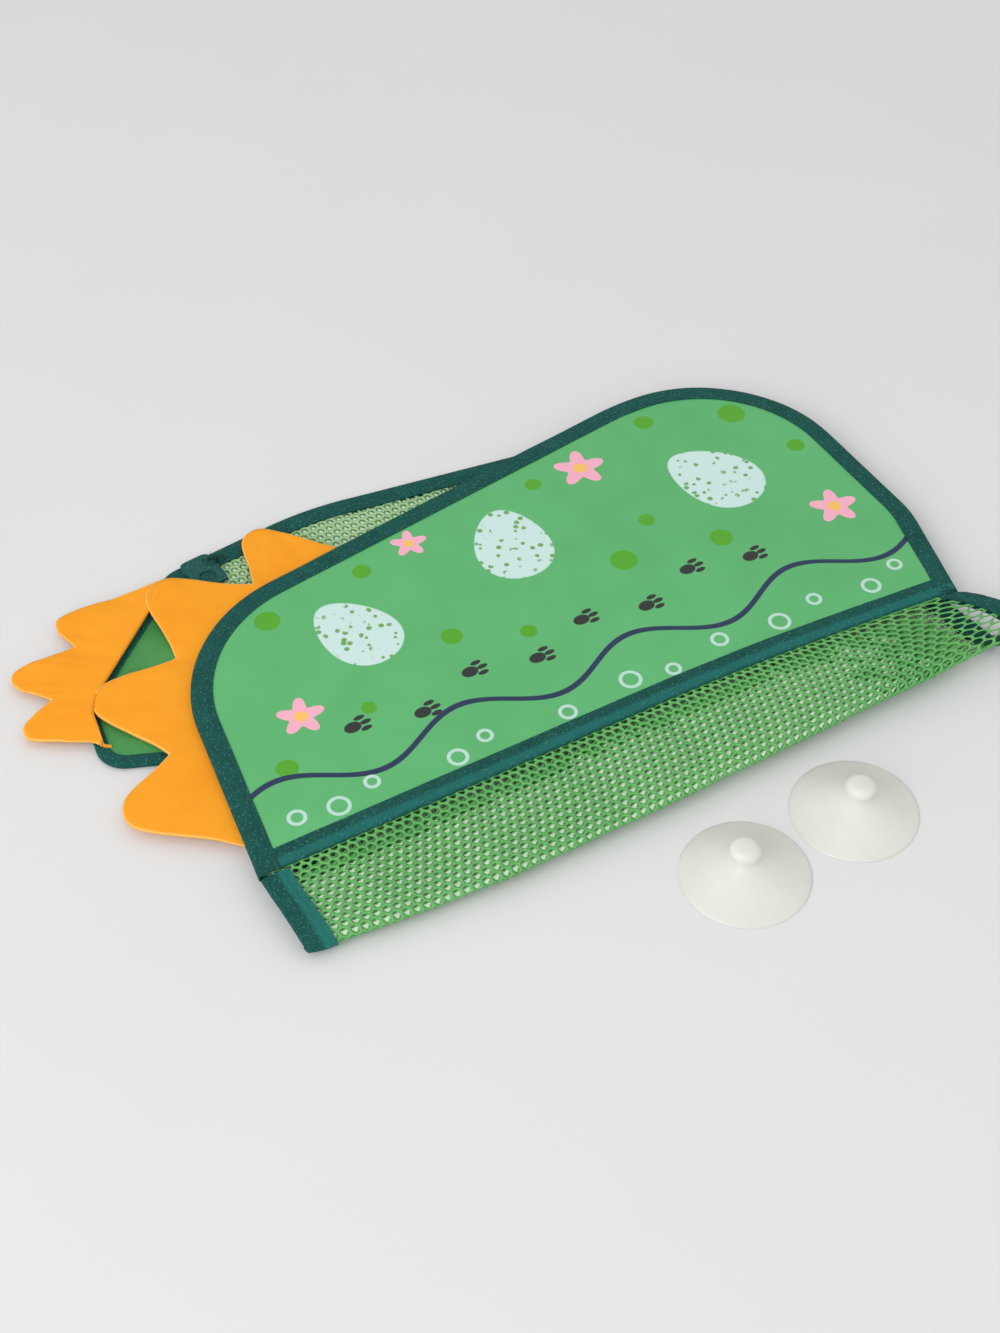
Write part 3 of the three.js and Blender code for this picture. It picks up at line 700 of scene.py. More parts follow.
# %% Lining and board finishes
def woven_finish(name, dark, light, threads, roughness):
    """Plain woven cloth: crossing sines of the piece's own coordinates for the weave, noise for the tone."""
    made, shader, start = finish(name, Roughness=roughness)
    place = object_place(start)
    x, y = object_mm(place)
    warp, weft = (x * threads).sin() * 0.5 + 0.5, (y * threads).sin() * 0.5 + 0.5
    cloud = noise(place, 46.0, 3.0)
    feed(
        shader,
        Base_Color=(cloud * 0.85 + warp * weft * 0.2 - 0.05).mix(dark, light),
        Normal=relief(warp * (1 - weft) + weft * (1 - warp), 0.35, 0.2),
    )
    return made


coat(front_back, woven_finish("lining_cloth", paint(70, 140, 84), paint(98, 170, 108), 7.0, 0.7))

board, board_shader, board_start = finish("stiffener_board", Roughness=0.85)
board_place = object_place(board_start)
cells = board_place.node("TexVoronoi", None, {"Vector": board_place, "Scale": 900.0}, out="Distance")
feed(board_shader, Base_Color=cells.mix(paint(214, 214, 206), paint(236, 236, 230)), Normal=relief(cells, 0.3, 0.3))
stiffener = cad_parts["front_stiffener"]
stiffener.data.materials.clear()
coat(stiffener, board)
print("finishes:", front_back.data.materials[0].name, board.name)

# %% [markdown]
# ## Felt frills
#
# Along the left side run two frills of orange felt, cut in round lobes. One is sewn under the front, the other
# to the fold of the side cloth. Felt has no weave: short fibres lie in all directions. A painted highlight makes
# the top face a little lighter along the cut edge. A lobe could be an arc of a circle, but these lean over to one
# side. So each is two curves that head from the notches for the tip and meet square there.

# %% Felt finish
felt, felt_shader, felt_start = finish("felt", Roughness=0.95, Specular_IOR_Level=0.15)
_, from_edge, _ = cloth_mm(felt_start)
felt_place = object_place(felt_start)
fibre = noise(felt_place, 1500.0, 4.0, 0.7)
felt_cloud = noise(felt_place, 60.0, 4.0)
felt_tone = (fibre * 0.5 + felt_cloud * 0.7 - 0.1).math("MAXIMUM", 0.0, clamp=True)
felt_colour = felt_tone.mix(paint(250, 150, 30), paint(255, 176, 50))
# painted highlight: the top face is lighter within about a millimetre of the cut edge
felt_colour = from_edge.step(1.1, 0.3).mix(felt_colour, paint(255, 190, 96))
feed(felt_shader, Base_Color=felt_colour, Normal=relief(fibre * 0.6 + felt_cloud * 0.4, 0.6, 0.4))
print("finish:", felt.name)

# %% Scalloped edge and the sheet behind it
LOBE_FOOT, LOBE_TIP = 0.5, 0.5
FELT_ROWS, FELT_THICK = 18, 1.5


def bezier(a, b, c, d, count):
    """Cubic curve from a to d, pulled towards b and c."""
    t = np.linspace(0, 1, count)[:, None]
    return (1 - t) ** 3 * a + 3 * (1 - t) ** 2 * t * b + 3 * (1 - t) * t**2 * c + t**3 * d


def lobe(start, tip, stop, count):
    """Half curves from a notch up to the tip and down to the next notch."""
    out = unit(tip - (start + stop) / 2)
    across = np.array([-out[1], out[0]])
    across = across * np.sign((stop - start) @ across)
    halves = []
    for notch in (start, stop):
        run = (tip - notch) @ across
        heading = notch + (tip - notch) * LOBE_FOOT
        halves.append(bezier(notch, heading, tip - across * run * LOBE_TIP, tip, count))
    return even(np.vstack([halves[0], halves[1][::-1][1:]]), 2 * count)


def frill(name, notches, tips, seam, foot_z, tip_z, seed, count=26):
    """Felt ruled between a seam line and its scalloped edge; each notch takes the nearest place on the seam."""
    notches, tips = np.array(notches, float), np.array(tips, float)
    lobes = [lobe(notches[i], tips[i], notches[i + 1], count)[: 2 * count - 1] for i in range(len(tips))]
    edge = np.vstack(lobes + [notches[-1:]])
    at = np.arange(len(edge))
    near = [np.linalg.norm(seam - n, axis=1).argmin() for n in notches]
    place = np.interp(at, np.arange(len(notches)) * (2 * count - 1), near)
    foot = np.stack([np.interp(place, np.arange(len(seam)), axis) for axis in seam.T], axis=1)
    share = np.linspace(0, 1, FELT_ROWS)[None, :]
    sag = ripple(at * 1.7, seed, 60.0)[:, None] * share * 0.5
    grid = raised(ruled(foot, edge, FELT_ROWS), foot_z + (tip_z - foot_z) * share + sag)
    reach = np.linalg.norm(edge - foot, axis=1)[:, None]
    uv = np.stack([(reach * share).ravel(), (reach * (1 - share)).ravel()], axis=1)
    return coat(sheet(name, grid, FELT_THICK, uv=uv, flip=True), felt)


print("lobes are ruled in", FELT_ROWS, "rows")

# %% The front's frill
FRONT_NOTCHES = [(-2, 59), (-9, 120), (16, 172), (66, 197.5), (111, 201.5)]
FRONT_TIPS = [(-39, 99.5), (-25.5, 167), (25, 220), (79.5, 231)]
front_frill = frill("front_felt", FRONT_NOTCHES, FRONT_TIPS, front_line + inward(front_line) * 6.0, 6.9, 6.3, 5)
print("front frill's points:", len(front_frill.data.vertices))

# %% [markdown]
# ## Side cloth
#
# Each side of the pocket has a cloth gusset that folds outwards at its middle seam. One layer comes from the
# back's edge, the other from under the front, and a tape binds them where they meet. The frame has one solid for
# both; here they are two sheets. Each hangs between the two bodies that it joins and rides on neither. On the right
# the upper layer is hidden and lies in a pleat.

# %% Left gusset's seam and lower layer
gusset_green = woven_finish("gusset_cloth", paint(46, 124, 56), paint(82, 166, 88), 5.4, 0.6)
GUSSET_TAPE, SEAM_LOW, SEAM_HIGH = 8.0, 0.05, 3.0
CLOTH, LOWER_Z, LOWER_ROWS = 0.4, 1.3, 24
LEFT_SKIP = 18


def back_left(y):
    """The back's left edge leans in by 19 mm on its 223 mm way up."""
    return 8.0 + 19.0 * (y - 4.0) / 223.0


LEFT_SEAM = [
    (back_left(108) + 0.6, 108),
    (back_left(108) - 53.4, 130, 14),
    (back_left(166) - 53.4, 166, 26),
    (back_left(220) + 0.6, 220),
]
left_seam = rounded(LEFT_SEAM, 160)
LEFT_TAPE = GUSSET_TAPE - 2.0
left_gusset_tape = edge_tape("left_gusset_tape", left_seam, LEFT_TAPE, SEAM_LOW, SEAM_HIGH, seed=6, wander=0.05)
coat(left_gusset_tape, tape_green)
left_gusset_stitches = edge_stitches("left_gusset_stitches", left_seam, LEFT_TAPE, 2.95)

gusset_outer = (left_seam + inward(left_seam) * IN_TAPE)[LEFT_SKIP:]
gusset_y = np.clip(gusset_outer[:, 1] - 4.0, 111.0, 214.0)
lower_inner = np.column_stack([back_left(gusset_y) + 0.6, gusset_y])
lower_grid = raised(ruled(lower_inner, gusset_outer, LOWER_ROWS), LOWER_Z)
left_gusset_low = coat(sheet("left_gusset_low", lower_grid, CLOTH), gusset_green)
print("left seam's length, mm:", round(length_of(left_seam)))

# %% Left gusset's upper layer
UPPER_FROM, UPPER_TO, UPPER_ROWS = 110.0, 184.5, 40
UPPER_FOOT_Z, UPPER_SEAM_Z = 4.9, 2.0
CREASE_HIGH, CREASE_WIDE = 2.2, 8
upper_start, upper_stop = (int(np.argmax(near_front[:, 1] > level)) for level in (UPPER_FROM, UPPER_TO))
upper_inner = even(near_front[upper_start:upper_stop], len(gusset_outer))
upper_flat = ruled(upper_inner, gusset_outer, UPPER_ROWS)
upper_x, upper_y = upper_flat[..., 0], upper_flat[..., 1]
upper_share = np.linspace(0, 1, UPPER_ROWS)[None, :]
off_crease = np.abs((upper_x + 12.0) * 0.8 - (upper_y - 172.0) * 0.6)
puff = 0.4 * ripple(upper_y + 0.4 * upper_x, 7, 50.0) + CREASE_HIGH * np.maximum(0, 1 - off_crease / CREASE_WIDE)
upper_z = UPPER_FOOT_Z + (UPPER_SEAM_Z - UPPER_FOOT_Z) * upper_share + puff * np.sin(np.pi * upper_share)
left_gusset_top = coat(sheet("left_gusset_top", raised(upper_flat, upper_z), CLOTH), gusset_green)
print("gusset's upper sheet rises", round(float(upper_z.max() - upper_z.min()), 1), "mm")

# %% Side frill on the seam
SIDE_NOTCHES = [(28, 222), (-20.5, 202), (-41.5, 176), (-28, 139.5)]
SIDE_TIPS = [(-23, 219), (-52.5, 197), (-59, 164)]
side_seam = left_seam + inward(left_seam) * 4.2
side_frill = frill("side_felt", SIDE_NOTCHES, SIDE_TIPS, side_seam, 4.9, 3.9, 8)
sewn = side_seam[np.linalg.norm(side_seam - SIDE_NOTCHES[-1], axis=1).argmin() :]
side_run = lifted(sewn - inward(sewn) * 2.0, 4.95)[2:-6]
side_stitches = stitches("side_stitches", side_run, pitch=2.4, long=2.2, thick=0.5)
print("side frill's points:", len(side_frill.data.vertices))


# %% Right gusset's seam and lower layer
def back_right(y):
    """The back's right edge leans in by 29 mm on its 202 mm way up."""
    return 347.0 - 29.0 * (y - 4.0) / 202.0


RIGHT_SEAM = [
    (back_right(171) - 0.6, 171),
    (back_right(171) + 23.4, 171, 14),
    (back_right(84) + 23.4, 84, 14),
    (back_right(84) - 0.6, 84),
]
RIGHT_SKIP, RIGHT_ROWS = 12, 16
right_seam = rounded(RIGHT_SEAM, 140)
right_gusset_tape = edge_tape("right_gusset_tape", right_seam, GUSSET_TAPE, SEAM_LOW, SEAM_HIGH, seed=9, wander=0.05)
coat(right_gusset_tape, tape_green)
right_outer = (right_seam + inward(right_seam) * IN_TAPE)[RIGHT_SKIP:-RIGHT_SKIP]
right_y = np.clip(right_outer[:, 1], 86.0, 169.0)
right_inner = np.column_stack([back_right(right_y) - 0.6, right_y])
right_grid = raised(ruled(right_inner, right_outer, RIGHT_ROWS), LOWER_Z)
right_gusset_low = coat(sheet("right_gusset_low", right_grid, CLOTH, flip=True), gusset_green)
print("right seam's length, mm:", round(length_of(right_seam)))

# %% Right gusset's pleat
PLEAT_LOW, PLEAT_HIGH, PLEAT_DEEP = 3.4, 6.6, 20.0
PLEAT_ROWS, PLEAT_POINTS = 40, 80
PLEAT_FROM, PLEAT_TO = 88, 167
seam_run = right_seam + inward(right_seam) * 3.0
on_long_side = (seam_run[:, 0] > back_right(seam_run[:, 1]) + 18) & (seam_run[:, 1] > PLEAT_FROM)
on_right = (near_front[:, 0] > 300) & (near_front[:, 1] > PLEAT_FROM) & (near_front[:, 1] < PLEAT_TO)
pleat_share = np.linspace(0, 1, PLEAT_ROWS)[None, :]
pleat = ruled(even(seam_run[on_long_side], PLEAT_POINTS), even(near_front[on_right], PLEAT_POINTS), PLEAT_ROWS)
pleat[..., 0] -= PLEAT_DEEP * np.sin(np.pi * pleat_share)
pleat_grid = raised(pleat, PLEAT_LOW + (PLEAT_HIGH - PLEAT_LOW) * pleat_share)
right_gusset_top = coat(sheet("right_gusset_top", pleat_grid, thickness=0.3), gusset_green)
print("pleat's points:", len(right_gusset_top.data.vertices))

# %% [markdown]
# ## Netting
#
# The pocket's bottom and its back are green hexagonal netting, 4.5 mm from mesh to mesh. A picture of holes with
# see-through alpha would be light, but its strands would stay flat in a close view. Here each mesh is a ring of
# strand: an outer hexagon that is shared with its neighbours and a rounder hole, with the strand thick at the
# shared line and thin at the hole. The flat net is then laid on any surface.

# %% Net finish
LIGHT_THROUGH = 0.2


def net_finish(name, dark, light):
    """Shiny knitted yarn: two greens mixed by noise, and a share of light that passes through the thin strands."""
    made, shader, start = finish(name, Roughness=0.5)
    place = object_place(start)
    fleck = noise(place, 1100.0, 2.0)
    tone = (fleck * 0.6 + noise(place, 30.0, 2.0) * 0.6 - 0.1).math("MAXIMUM", 0.0, clamp=True)
    colour = tone.mix(dark, light)
    feed(shader, Base_Color=colour, Roughness=fleck * 0.2 + 0.4, Normal=relief(fleck, 0.4, 0.2))
    glow = start.node("BsdfTranslucent", None, {"Color": colour})
    both = start.node("MixShader", None, {0: LIGHT_THROUGH, 1: Wire(start.tree, shader.outputs[0]), 2: glow})
    start.tree.links.new(both.socket, start.tree.nodes["Material Output"].inputs["Surface"])
    return made


netting = net_finish("netting", paint(82, 170, 86), paint(136, 216, 128))
pale_netting = net_finish("pale_netting", paint(158, 212, 146), paint(204, 240, 188))
# painted light: a near-white net that stands for light coming through the holes into shaded places
painted_light_netting = net_finish("painted_light_netting", paint(206, 250, 200), paint(238, 255, 232))
print("finishes:", netting.name, pale_netting.name, painted_light_netting.name)

# %% Flat pattern of a net
PITCH, ROW_STEP, MESH_SIDES = 4.5, 0.866, 12


def hex_centres(wide, tall):
    """Centres of hexagons in staggered rows over a rectangle."""
    rows = np.arange(int(tall / (PITCH * ROW_STEP)) + 1)
    columns = np.arange(int(wide / PITCH) + 1)
    i, j = np.meshgrid(rows, columns, indexing="ij")
    return np.column_stack([(j * PITCH + (i % 2) * PITCH / 2).ravel(), (i * PITCH * ROW_STEP).ravel()])


def net_rings(centres, strand):
    """Outer and hole ring of each mesh: hexagon corners far, edge middles near, the hole half a strand inside."""
    strand = np.broadcast_to(strand, len(centres))[:, None]
    turn = np.arange(MESH_SIDES) * 2 * np.pi / MESH_SIDES
    corner = np.isclose(np.cos(6 * turn), -1.0)
    outer = np.where(corner, PITCH / np.sqrt(3), PITCH / 2)
    hole = np.where(corner, PITCH / np.sqrt(3) - 0.85 * strand, PITCH / 2 - 0.5 * strand)
    way = np.stack([np.cos(turn), np.sin(turn)], axis=1)
    return centres[:, None] + outer[None, :, None] * way, centres[:, None] + hole[..., None] * way


print("a net of 40 by 20 mm has", len(hex_centres(40, 20)), "meshes")

# %% A net laid on a surface
GRAIN = 50


def next_round(ring):
    """Each point number's next neighbour round its ring."""
    return np.roll(ring, -1, axis=1)


def net(name, centres, strand, lay, half, yarn):
    """Net from flat rings: lay(u, v) gives the point and the normal; shared points of neighbours are one."""
    outer, hole = net_rings(centres, strand)
    count, sides = outer.shape[:2]
    keys, which = np.unique(np.round(outer.reshape(-1, 2) * GRAIN).astype(np.int64), axis=0, return_inverse=True)
    shared = keys / GRAIN
    point, normal = lay(shared[:, 0], shared[:, 1])
    inner_point, _ = lay(*hole.reshape(-1, 2).T)
    points = np.vstack([point + normal * half, point - normal * half, inner_point])
    top = which.reshape(count, sides)
    low, rim = top + len(shared), np.arange(count * sides).reshape(count, sides) + 2 * len(shared)
    upper = np.stack([top, next_round(top), next_round(rim), rim], axis=2).reshape(-1, 4)
    lower = np.stack([low, rim, next_round(rim), next_round(low)], axis=2).reshape(-1, 4)
    return coat(piece(name, points, np.vstack([upper, lower]), smooth=180), yarn)


print("faces in each mesh of a net:", 2 * MESH_SIDES)

# %% [markdown]
# ## The netting roll
#
# From the hem the net runs level for a little, then rolls over and comes back under itself to the bottom fold.
# The roll is fuller at its right end, where it stands open. Its section is one cubic curve whose pulls grow from
# left to right, and the net is laid on it with the meshes stretched towards the open end. Through its holes the
# far side of the roll shows. A second layer close under the first stands for it: green near the hem, where it lies
# in shade, and a near-white net further down, painted as the light that comes through the holes, mixed mesh by
# mesh between the two. A cloth simulation could roll the net too, but the seams at both ends already settle its
# shape, and a formula lays every mesh where it belongs.

# %% Section of the roll
ROLL_LEFT, ROLL_RIGHT, FOLD_Y = -2.0, 347.0, 4.0
NET_Z, FRONT_Z = 1.25, 9.15


def roll(x, t):
    """Point (y, z) and outward normal of the roll at x: a cubic curve from the hem to the bottom fold."""
    share = np.clip((x - ROLL_LEFT) / (ROLL_RIGHT - ROLL_LEFT), 0, None)
    reach = 15 + 31 * (1 - np.exp(-share / 0.14)) - 14 * share**2
    swell = 8 + 14 * share
    y = [hem_y(x) - 0.4, hem_y(x) - 16.4, FOLD_Y - reach, FOLD_Y - 0.15]
    z = [FRONT_Z, FRONT_Z + 9 * share**6, NET_Z + swell, NET_Z]
    w = [(1 - t) ** 3, 3 * (1 - t) ** 2 * t, 3 * (1 - t) * t**2, t**3]
    d = [3 * (1 - t) ** 2, 6 * (1 - t) * t, 3 * t**2]
    at = [sum(k * p for k, p in zip(w, axis)) for axis in (y, z)]
    go = [sum(k * (q - p) for k, p, q in zip(d, axis, axis[1:])) for axis in (y, z)]
    size = np.hypot(*go)
    return at[0], at[1], go[1] / size, -go[0] / size


def left_end(t):
    """The roll's left end runs almost straight from the hem to the fold."""
    return -4.8 + 2.8 * t


def right_end(t):
    """The roll's right end swings out between the hem and the fold."""
    return 343.5 + 3.5 * t + 10.5 * np.sin(np.pi * t)


ROLL_MIDDLE, ROLL_STEPS = 175.0, 200
middle_t = np.linspace(0, 1, ROLL_STEPS)
middle_y, middle_z, _, _ = roll(np.full(ROLL_STEPS, ROLL_MIDDLE), middle_t)
middle_length = np.concatenate([[0], np.cumsum(np.hypot(np.diff(middle_y), np.diff(middle_z)))])
ROLL_LONG = float(middle_length[-1])
print("roll's way from hem to fold:", round(ROLL_LONG), "mm")

# %% Net on the roll
NET_WIDE, STRETCH, OPENING = 338.0, 36.0, 0.018
END_IN, NET_LOWEST = 4.0, 0.7
STRAND_FULL, STRAND_LOSS = 1.35, 0.65


def lay_on_roll(u, v):
    """Net coordinates to the roll: v is the length down the section, u runs along it and opens out at the right."""
    u, v = np.clip(u, 0, NET_WIDE), np.clip(v, 0, ROLL_LONG)
    t = np.interp(v, middle_length, middle_t)
    open_out = np.maximum(0, u - (NET_WIDE - STRETCH))
    wide = (u + open_out**2 * OPENING) / (NET_WIDE + STRETCH**2 * OPENING)
    x = left_end(t) + END_IN + (right_end(t) - left_end(t) - 2 * END_IN) * wide
    y, z, ny, nz = roll(x, t)
    wander = ripple(x, 10, 70.0) + 0.6 * ripple(x + v * 1.5, 11, 31.0)
    from_end = np.minimum(x - left_end(t), right_end(t) - x)
    slack = 0.8 * np.sin(np.pi * np.clip(t * 1.15, 0, 1)) * wander * np.clip((from_end - 10) / 30, 0, 1)
    pucker = 0.7 * np.exp(-v / 3.5) * np.abs(np.sin(np.pi * x / 5.6))
    point = np.stack([x, y + ny * slack, np.maximum(z + nz * slack + pucker, NET_LOWEST)], axis=1)
    return point, np.stack([np.zeros_like(x), ny, nz], axis=1)


roll_centres = hex_centres(NET_WIDE, ROLL_LONG)
strand = STRAND_FULL - STRAND_LOSS * np.clip((roll_centres[:, 0] - NET_WIDE + STRETCH) / STRETCH, 0, 1)
roll_net = net("roll_net", roll_centres, strand, lay_on_roll, 0.5, netting)
print("roll's net faces:", len(roll_net.data.polygons))

# %% Second layer of the roll
SECOND_FROM, SECOND_TO, SECOND_END = 0.04, 0.75, NET_WIDE - 14
PALE_FROM, PALE_RISE = 0.13, 0.07
PALE_END, PALE_FADE = NET_WIDE - 22, 44
BESIDE = np.array([PITCH / 2, PITCH / 3])


def under(lay, depth):
    """The same lay, a depth under its surface."""

    def lower(u, v):
        point, normal = lay(u, v)
        return point - depth * normal, normal

    return lower


second = roll_centres + BESIDE
second_down = second[:, 1] / ROLL_LONG
second = second[(second_down > SECOND_FROM) & (second_down < SECOND_TO) & (second[:, 0] < SECOND_END)]
below_hem = np.clip((second[:, 1] / ROLL_LONG - PALE_FROM) / PALE_RISE, 0, 1)
before_end = np.clip((PALE_END - second[:, 0]) / PALE_FADE, 0, 1)
# painted light: meshes picked here take the near-white net, and the others stay green near the hem and the right end
painted_lit = np.random.default_rng(19).random(len(second)) < below_hem * before_end
hem_net = net("hem_net", second[~painted_lit], 2.6, under(lay_on_roll, 1.1), 0.4, netting)
inner_net = net("inner_net", second[painted_lit], 2.7, under(lay_on_roll, 0.95), 0.4, painted_light_netting)
print("second layer's meshes:", len(second), "of which pale:", int(painted_lit.sum()))

# %% Tapes on the roll's ends
END_ROWS = 70


def end_tape(name, end, turn, width, seed):
    """Folded tape along one end of the roll: every point of its section lies off the roll's surface by its height."""
    t = np.linspace(0.03, 0.985, END_ROWS)
    section = folded(width, -1.3, 1.3, crown=0.3)
    x = end(t)[:, None] + turn * section[None, :, 0]
    y, z, ny, nz = roll(x, np.broadcast_to(t[:, None], x.shape))
    high = section[None, :, 1] + 0.3 * ripple(t * 60, seed, 24.0)[:, None]
    grid = np.stack([x, y + ny * high, np.maximum(z + nz * high, 0.05)], axis=2)
    return tube(name, grid, uv=spread(np.linspace(0, ROLL_LONG, END_ROWS), section[:, 0]), flip=turn < 0)


end_green = tape_finish("end_tape", TAPE_DEEP, TAPE_PALE, band=paint(34, 114, 106), band_from=7.0, band_to=13.0)
left_end_tape = coat(end_tape("left_end_tape", left_end, 1.0, 12.5, 12), end_green)
right_end_tape = coat(end_tape("right_end_tape", right_end, -1.0, TAPE, 13), tape_green)
print("end tapes:", left_end_tape.name, right_end_tape.name)

# %% [markdown]
# ## The back
#
# The back is the same net in a paler green inside a taped edge, and lies on the table. Near the mouth, where the
# front shades the table, a near-white net lies under it as painted light, which makes the meshes look filled and
# lit. A Boolean could trim the net along its edge, but it would leave slivers. Instead only meshes whose middle is
# inside the edge are made, and the tape hides their ends.

# %% Back tape
BACK_FOOT = 4.15
BACK_EDGE = [
    (back_left(BACK_FOOT), BACK_FOOT),
    (27, 227, 16),
    (110, 237, 160),
    (back_right(206), 206, 16),
    (back_right(BACK_FOOT), BACK_FOOT),
]
back_line = rounded(BACK_EDGE, 420)
back_tape = coat(edge_tape("back_tape", back_line, TAPE, 0.05, 2.5, seed=14, wander=0.04), tape_green)
back_stitches = edge_stitches("back_stitches", back_line, TAPE, 2.4)
print("back's edge, mm:", round(length_of(back_line)))

# %% Back net and the painted light under its mouth
MOUTH_FROM = 168
BACK_WIDE, BACK_TALL, BACK_START = 348.0, 238.0, np.array([6.0, 5.0])


def within(points, loop):
    """True for points inside a closed line: a ray to the right crosses it an odd number of times."""
    x, y = points.T
    ax, ay = loop[:, 0][:, None], loop[:, 1][:, None]
    bx, by = np.roll(loop, -1, axis=0).T[:, :, None]
    crosses = (ay > y) != (by > y)
    slope = np.where(by == ay, 1.0, by - ay)
    return (crosses & (x < ax + (bx - ax) * (y - ay) / slope)).sum(axis=0) % 2 == 1


def lay_on_table(u, v):
    """The flat net lies on the table, with a slight wander."""
    z = NET_Z + 0.1 * ripple(u + 0.7 * v, 15, 60.0)
    return np.column_stack([u, np.maximum(v, 4.3), z]), np.broadcast_to(UP, (len(u), 3))


back_centres = hex_centres(BACK_WIDE, BACK_TALL) + BACK_START
back_loop = back_line + inward(back_line) * 4.5
back_centres = back_centres[within(back_centres, back_loop)]
back_net = net("back_net", back_centres, 1.5, lay_on_table, 0.4, pale_netting)
# painted light: a near-white net under the back's mouth lights the holes where the table lies in the front's shade
mouth_centres = back_centres[back_centres[:, 1] > MOUTH_FROM] + BESIDE
mouth_centres = mouth_centres[within(mouth_centres, back_loop)]
mouth_net = net("mouth_net", mouth_centres, 2.7, under(lay_on_table, 0.72), 0.25, painted_light_netting)
print("back net's meshes:", len(back_centres), "faces:", len(back_net.data.polygons))

# %% [markdown]
# ## Hanging tabs
#
# Two short webbing tabs on the back's top tape take the necks of the suction cups. Each is a strip with a
# round eye. The eye could be cut with a Boolean, but a surface ruled between the eye and the strip's rounded edge
# has clean faces all round it. The left tab is folded in, and its cut end has frayed into a tuft of loose threads.

# %% Tabs
webbing = tape_finish("webbing", paint(18, 62, 58), paint(44, 104, 96))
TAB_HALF_WIDE, TAB_HALF_LONG, TAB_POINTS = 8.0, 10.5, 96
LEFT_TAB = {"middle": (50.4, 219.2), "eye": (50.89, 215.27), "tilt": 0.12}
RIGHT_TAB = {"middle": (284.9, 213.5), "eye": (285.49, 217.42), "tilt": -0.15}


def tab(name, middle, eye, tilt, radius=4.0, low=2.85, high=3.95):
    """A rounded strip ruled between its round eye and its edge, a superellipse of the sixth power."""
    turn = np.linspace(0, 2 * np.pi, TAB_POINTS, endpoint=False)
    c, s = np.cos(turn), np.sin(turn)
    reach = (np.abs(c / TAB_HALF_WIDE) ** 6 + np.abs(s / TAB_HALF_LONG) ** 6) ** (-1 / 6)
    flat = np.stack([c * reach, s * reach], axis=1)
    spin = np.array([[np.cos(tilt), np.sin(tilt)], [-np.sin(tilt), np.cos(tilt)]])
    edge = flat @ spin + np.array(middle)
    hole = np.stack([c, s], axis=1) @ spin * radius + np.array(eye)
    ring = [(hole, low), (hole, high), (edge, high), (edge, low)]
    grid = np.stack([lifted(line, z) for line, z in ring], axis=1)
    steps = np.concatenate([ruled(grid[:, k], grid[:, (k + 1) % 4], 5)[:, :-1] for k in range(4)], axis=1)
    faces = grid_faces(TAB_POINTS, steps.shape[1], close_rows=True, close_columns=True)
    points = steps.reshape(-1, 3)
    return coat(piece(name, points, faces, uv=points[:, :2]), webbing)


left_tab = tab("left_tab", **LEFT_TAB)
left_fold = tab("left_tab_fold", **LEFT_TAB, radius=0.2, low=2.58, high=2.8)
right_tab = tab("right_tab", **RIGHT_TAB)
print("tab's faces:", len(left_tab.data.polygons))

# %% Frayed end of the left tab
THREAD_RINGS, THREAD_SIDES, THREAD_THICK, THREAD_LOWEST = 5, 3, 0.3, 2.6


def tuft(name, middle, spread_mm, tall, count, seed):
    """Thin threads that stand on a small spot, lean apart and curl: foot + (lean + up + curl) * s, s from 0 to 1."""
    chance = np.random.default_rng(seed)
    feet = np.array(middle) + chance.normal(0, 1, (count, 3)) * np.array([spread_mm, spread_mm * 0.5, 0.0])
    lean = chance.normal(0, 1, (count, 3)) * np.array([1.3, 1.3, 0.0]) + np.array([0.3, 0.8, 0.0])
    rise = tall * chance.uniform(0.5, 1.0, count)
    s = np.linspace(0, 1, THREAD_RINGS)[None, :, None]
    curl = np.sin(s * chance.uniform(2, 5, (count, 1, 1))) * chance.normal(0, 0.5, (count, 1, 3))
    path = feet[:, None] + lean[:, None] * s**1.5 + UP * s * rise[:, None, None] + curl * s
    turn = np.arange(THREAD_SIDES) * 2 * np.pi / THREAD_SIDES
    ring = np.stack([np.cos(turn), np.sin(turn), 0 * turn], axis=1) * THREAD_THICK
    points = path[:, :, None] + ring[None, None] * (1.15 - s[..., None])
    points[..., 2] = np.maximum(points[..., 2], THREAD_LOWEST)
    return small_tubes(name, points, flip=False)


left_threads = tuft("left_tab_threads", (57.5, 224.0, 3.4), 2.4, 3.0, 60, 16)
print("faces of the loose threads:", len(left_threads.data.polygons))

# %% [markdown]
# ## Suction cups
#
# The cups are cast in milky soft vinyl: a low cone with a thin rim, a narrow neck and a round knob that buttons
# through a tab. A cup is a profile turned about its axis. A Screw modifier turns profiles too, but here the soft
# knob leans over, and a grid of points can lean as it is turned. Light spreads a little inside the vinyl, so the
# shader takes a share of subsurface scattering and a soft, slightly rough surface.

# %% Cup finish
cup_vinyl, cup_shader, cup_start = finish(
    "cup_vinyl", IOR=1.45, Subsurface_Weight=0.2, Subsurface_Scale=0.003, Subsurface_Radius=(1, 1, 1)
)
cup_place = object_place(cup_start)
cup_cloud = noise(cup_place, 60.0, 3.0)
feed(
    cup_shader,
    Base_Color=cup_cloud.mix(paint(220, 219, 210), paint(232, 231, 225)),
    Roughness=cup_cloud * 0.12 + 0.28,
    Normal=relief(noise(cup_place, 400.0), 0.08, 0.2),
)
print("finish:", cup_vinyl.name)

# %% Cup shape
CUP_HEIGHT, CUP_SIDES = 21.0, 72
CUP_PROFILE = [
    (24.4, 0.05), (27.3, 0.05), (27.45, 0.4), (26.9, 0.9), (22.0, 3.1), (16.0, 6.1), (10.5, 9.2), (6.6, 11.7),
    (4.6, 13.0), (4.6, 13.8), (6.2, 14.8), (6.75, 16.7), (6.3, 18.8), (4.6, 20.4), (2.2, 20.95), (0.25, CUP_HEIGHT),
]
CUP_HOLLOW = [(0.25, 9.0), (5.0, 8.6), (12.0, 6.1), (19.0, 2.8), (23.4, 0.7), (24.4, 0.05)]


